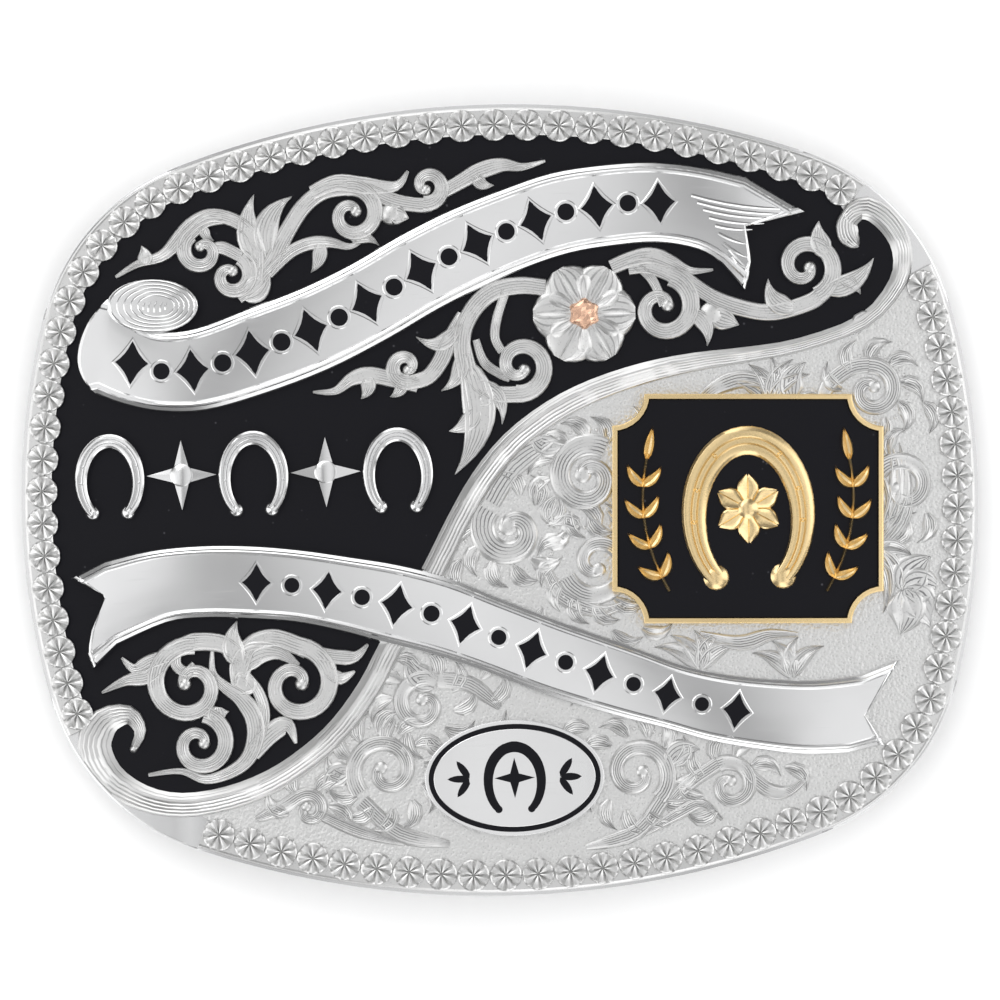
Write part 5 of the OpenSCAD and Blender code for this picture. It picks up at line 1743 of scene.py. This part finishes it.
class BuildStudio(bpy.types.Operator):
    """Set the floor, the soft light and the camera"""

    bl_idname = "buckle.studio"
    bl_label = "Studio"

    def execute(self, context):
        scene = context.scene
        studio = scene.buckle_studio
        bm = bmesh.new()
        bmesh.ops.create_grid(bm, x_segments=4, y_segments=4, size=3)
        mesh = bpy.data.meshes.new("floor")
        bm.to_mesh(mesh)
        bm.free()
        floor = bpy.data.objects.new("floor", mesh)
        scene.collection.objects.link(floor)
        paper, tree, shader = blank("floor_paper")
        shader.inputs["Roughness"].default_value = 0.9
        shader.inputs["Specular IOR Level"].default_value = 0.0
        tone = mixed(tree, noise(tree, object_coords(tree), 40.0), studio.floor, shaded(studio.floor, 0.99))
        tree.links.new(tone, shader.inputs["Base Color"])
        mesh.materials.append(paper)
        self.sky(scene, studio.sky)
        for name, spot, size, power in LIGHTS:
            light = bpy.data.lights.new(name, "AREA")
            light.size = size
            light.energy = studio.key * power
            lamp = bpy.data.objects.new(name, light)
            lamp.location = spot
            lamp.visible_glossy = name != "top"
            lamp.rotation_euler = (-Vector(spot)).to_track_quat("-Z", "Y").to_euler()
            scene.collection.objects.link(lamp)
        lens = bpy.data.cameras.new("camera")
        lens.sensor_width = 36
        lens.lens = 36 * studio.distance / studio.view
        lens.clip_end = 20
        camera = bpy.data.objects.new("camera", lens)
        camera.location = (0, 0, studio.distance + CAMERA_FOOT)
        camera.rotation_euler = (0, 0, math.radians(-SHEET_TURN))
        scene.collection.objects.link(camera)
        scene.camera = camera
        scene.view_settings.view_transform = "Standard"
        return {"FINISHED"}

    def sky(self, scene, strength):
        """Soft light above with two grey stretches, and bright and dark sectors lower down, which draw the
        edges of the metal."""
        world = bpy.data.worlds.new("studio")
        scene.world = world
        world.use_nodes = True
        tree = world.node_tree
        back = tree.nodes["Background"]
        way = node(tree, "ShaderNodeSeparateXYZ", {0: node(tree, "ShaderNodeTexCoord").outputs["Generated"]})
        share = maths(tree, "MULTIPLY", maths(tree, "ADD", way.outputs["X"], 1.0), 0.5)
        ramp = node(tree, "ShaderNodeValToRGB", {0: share})
        ramp.color_ramp.interpolation = "EASE"
        for i, (spot, tone) in enumerate(SKY_STOPS):
            if i < 2:
                stop = ramp.color_ramp.elements[i]
                stop.position = spot
            else:
                stop = ramp.color_ramp.elements.new(spot)
            stop.color = (tone, tone, tone * 1.005, 1)
        round_about = maths(tree, "ARCTAN2", way.outputs["Y"], way.outputs["X"])
        turns = maths(tree, "ADD", maths(tree, "MULTIPLY", round_about, SECTORS), SECTOR_TURN)
        sectors = ranged(tree, band_pass(tree, maths(tree, "SINE", turns), -0.5, 0.5), *SECTOR_TONES)
        lower = band_pass(tree, way.outputs["Z"], *SECTOR_HEIGHTS)
        tree.links.new(mixed(tree, lower, ramp.outputs[0], sectors), back.inputs["Color"])
        back.inputs["Strength"].default_value = strength


BUILDERS = (
    BuildBase, BuildEdge, BuildGrounds, BuildBand, BuildRibbons, BuildScrolls, BuildBlossom, BuildMotifs,
    BuildPlaque, BuildOval, FinishBack, BuildStudio
)


class BucklePanel(bpy.types.Panel):
    """Lists the buckle's pieces"""

    bl_idname = "VIEW3D_PT_buckle"
    bl_label = "Western Buckle"
    bl_space_type = "VIEW_3D"
    bl_region_type = "UI"
    bl_category = "Buckle"

    def draw(self, context):
        for builder in BUILDERS:
            self.layout.operator(builder.bl_idname)


SETTINGS = (
    ("buckle_shape", BuckleShape), ("buckle_heights", BuckleHeights), ("buckle_colours", BuckleColours),
    ("buckle_studio", BuckleStudio)
)


def register():
    for name, kind in SETTINGS:
        bpy.utils.register_class(kind)
        setattr(bpy.types.Scene, name, bpy.props.PointerProperty(type=kind))
    for kind in BUILDERS + (BucklePanel,):
        bpy.utils.register_class(kind)


def unregister():
    for kind in reversed(BUILDERS + (BucklePanel,)):
        bpy.utils.unregister_class(kind)
    for name, kind in reversed(SETTINGS):
        delattr(bpy.types.Scene, name)
        bpy.utils.unregister_class(kind)


def main():
    register()
    bpy.ops.buckle.base()
    bpy.ops.buckle.edge()
    bpy.ops.buckle.grounds()
    bpy.ops.buckle.band()
    bpy.ops.buckle.ribbons()
    bpy.ops.buckle.scrolls()
    bpy.ops.buckle.blossom()
    bpy.ops.buckle.motifs()
    bpy.ops.buckle.plaque()
    bpy.ops.buckle.oval()
    bpy.ops.buckle.back()
    bpy.ops.buckle.studio()


if __name__ == "__main__":
    main()
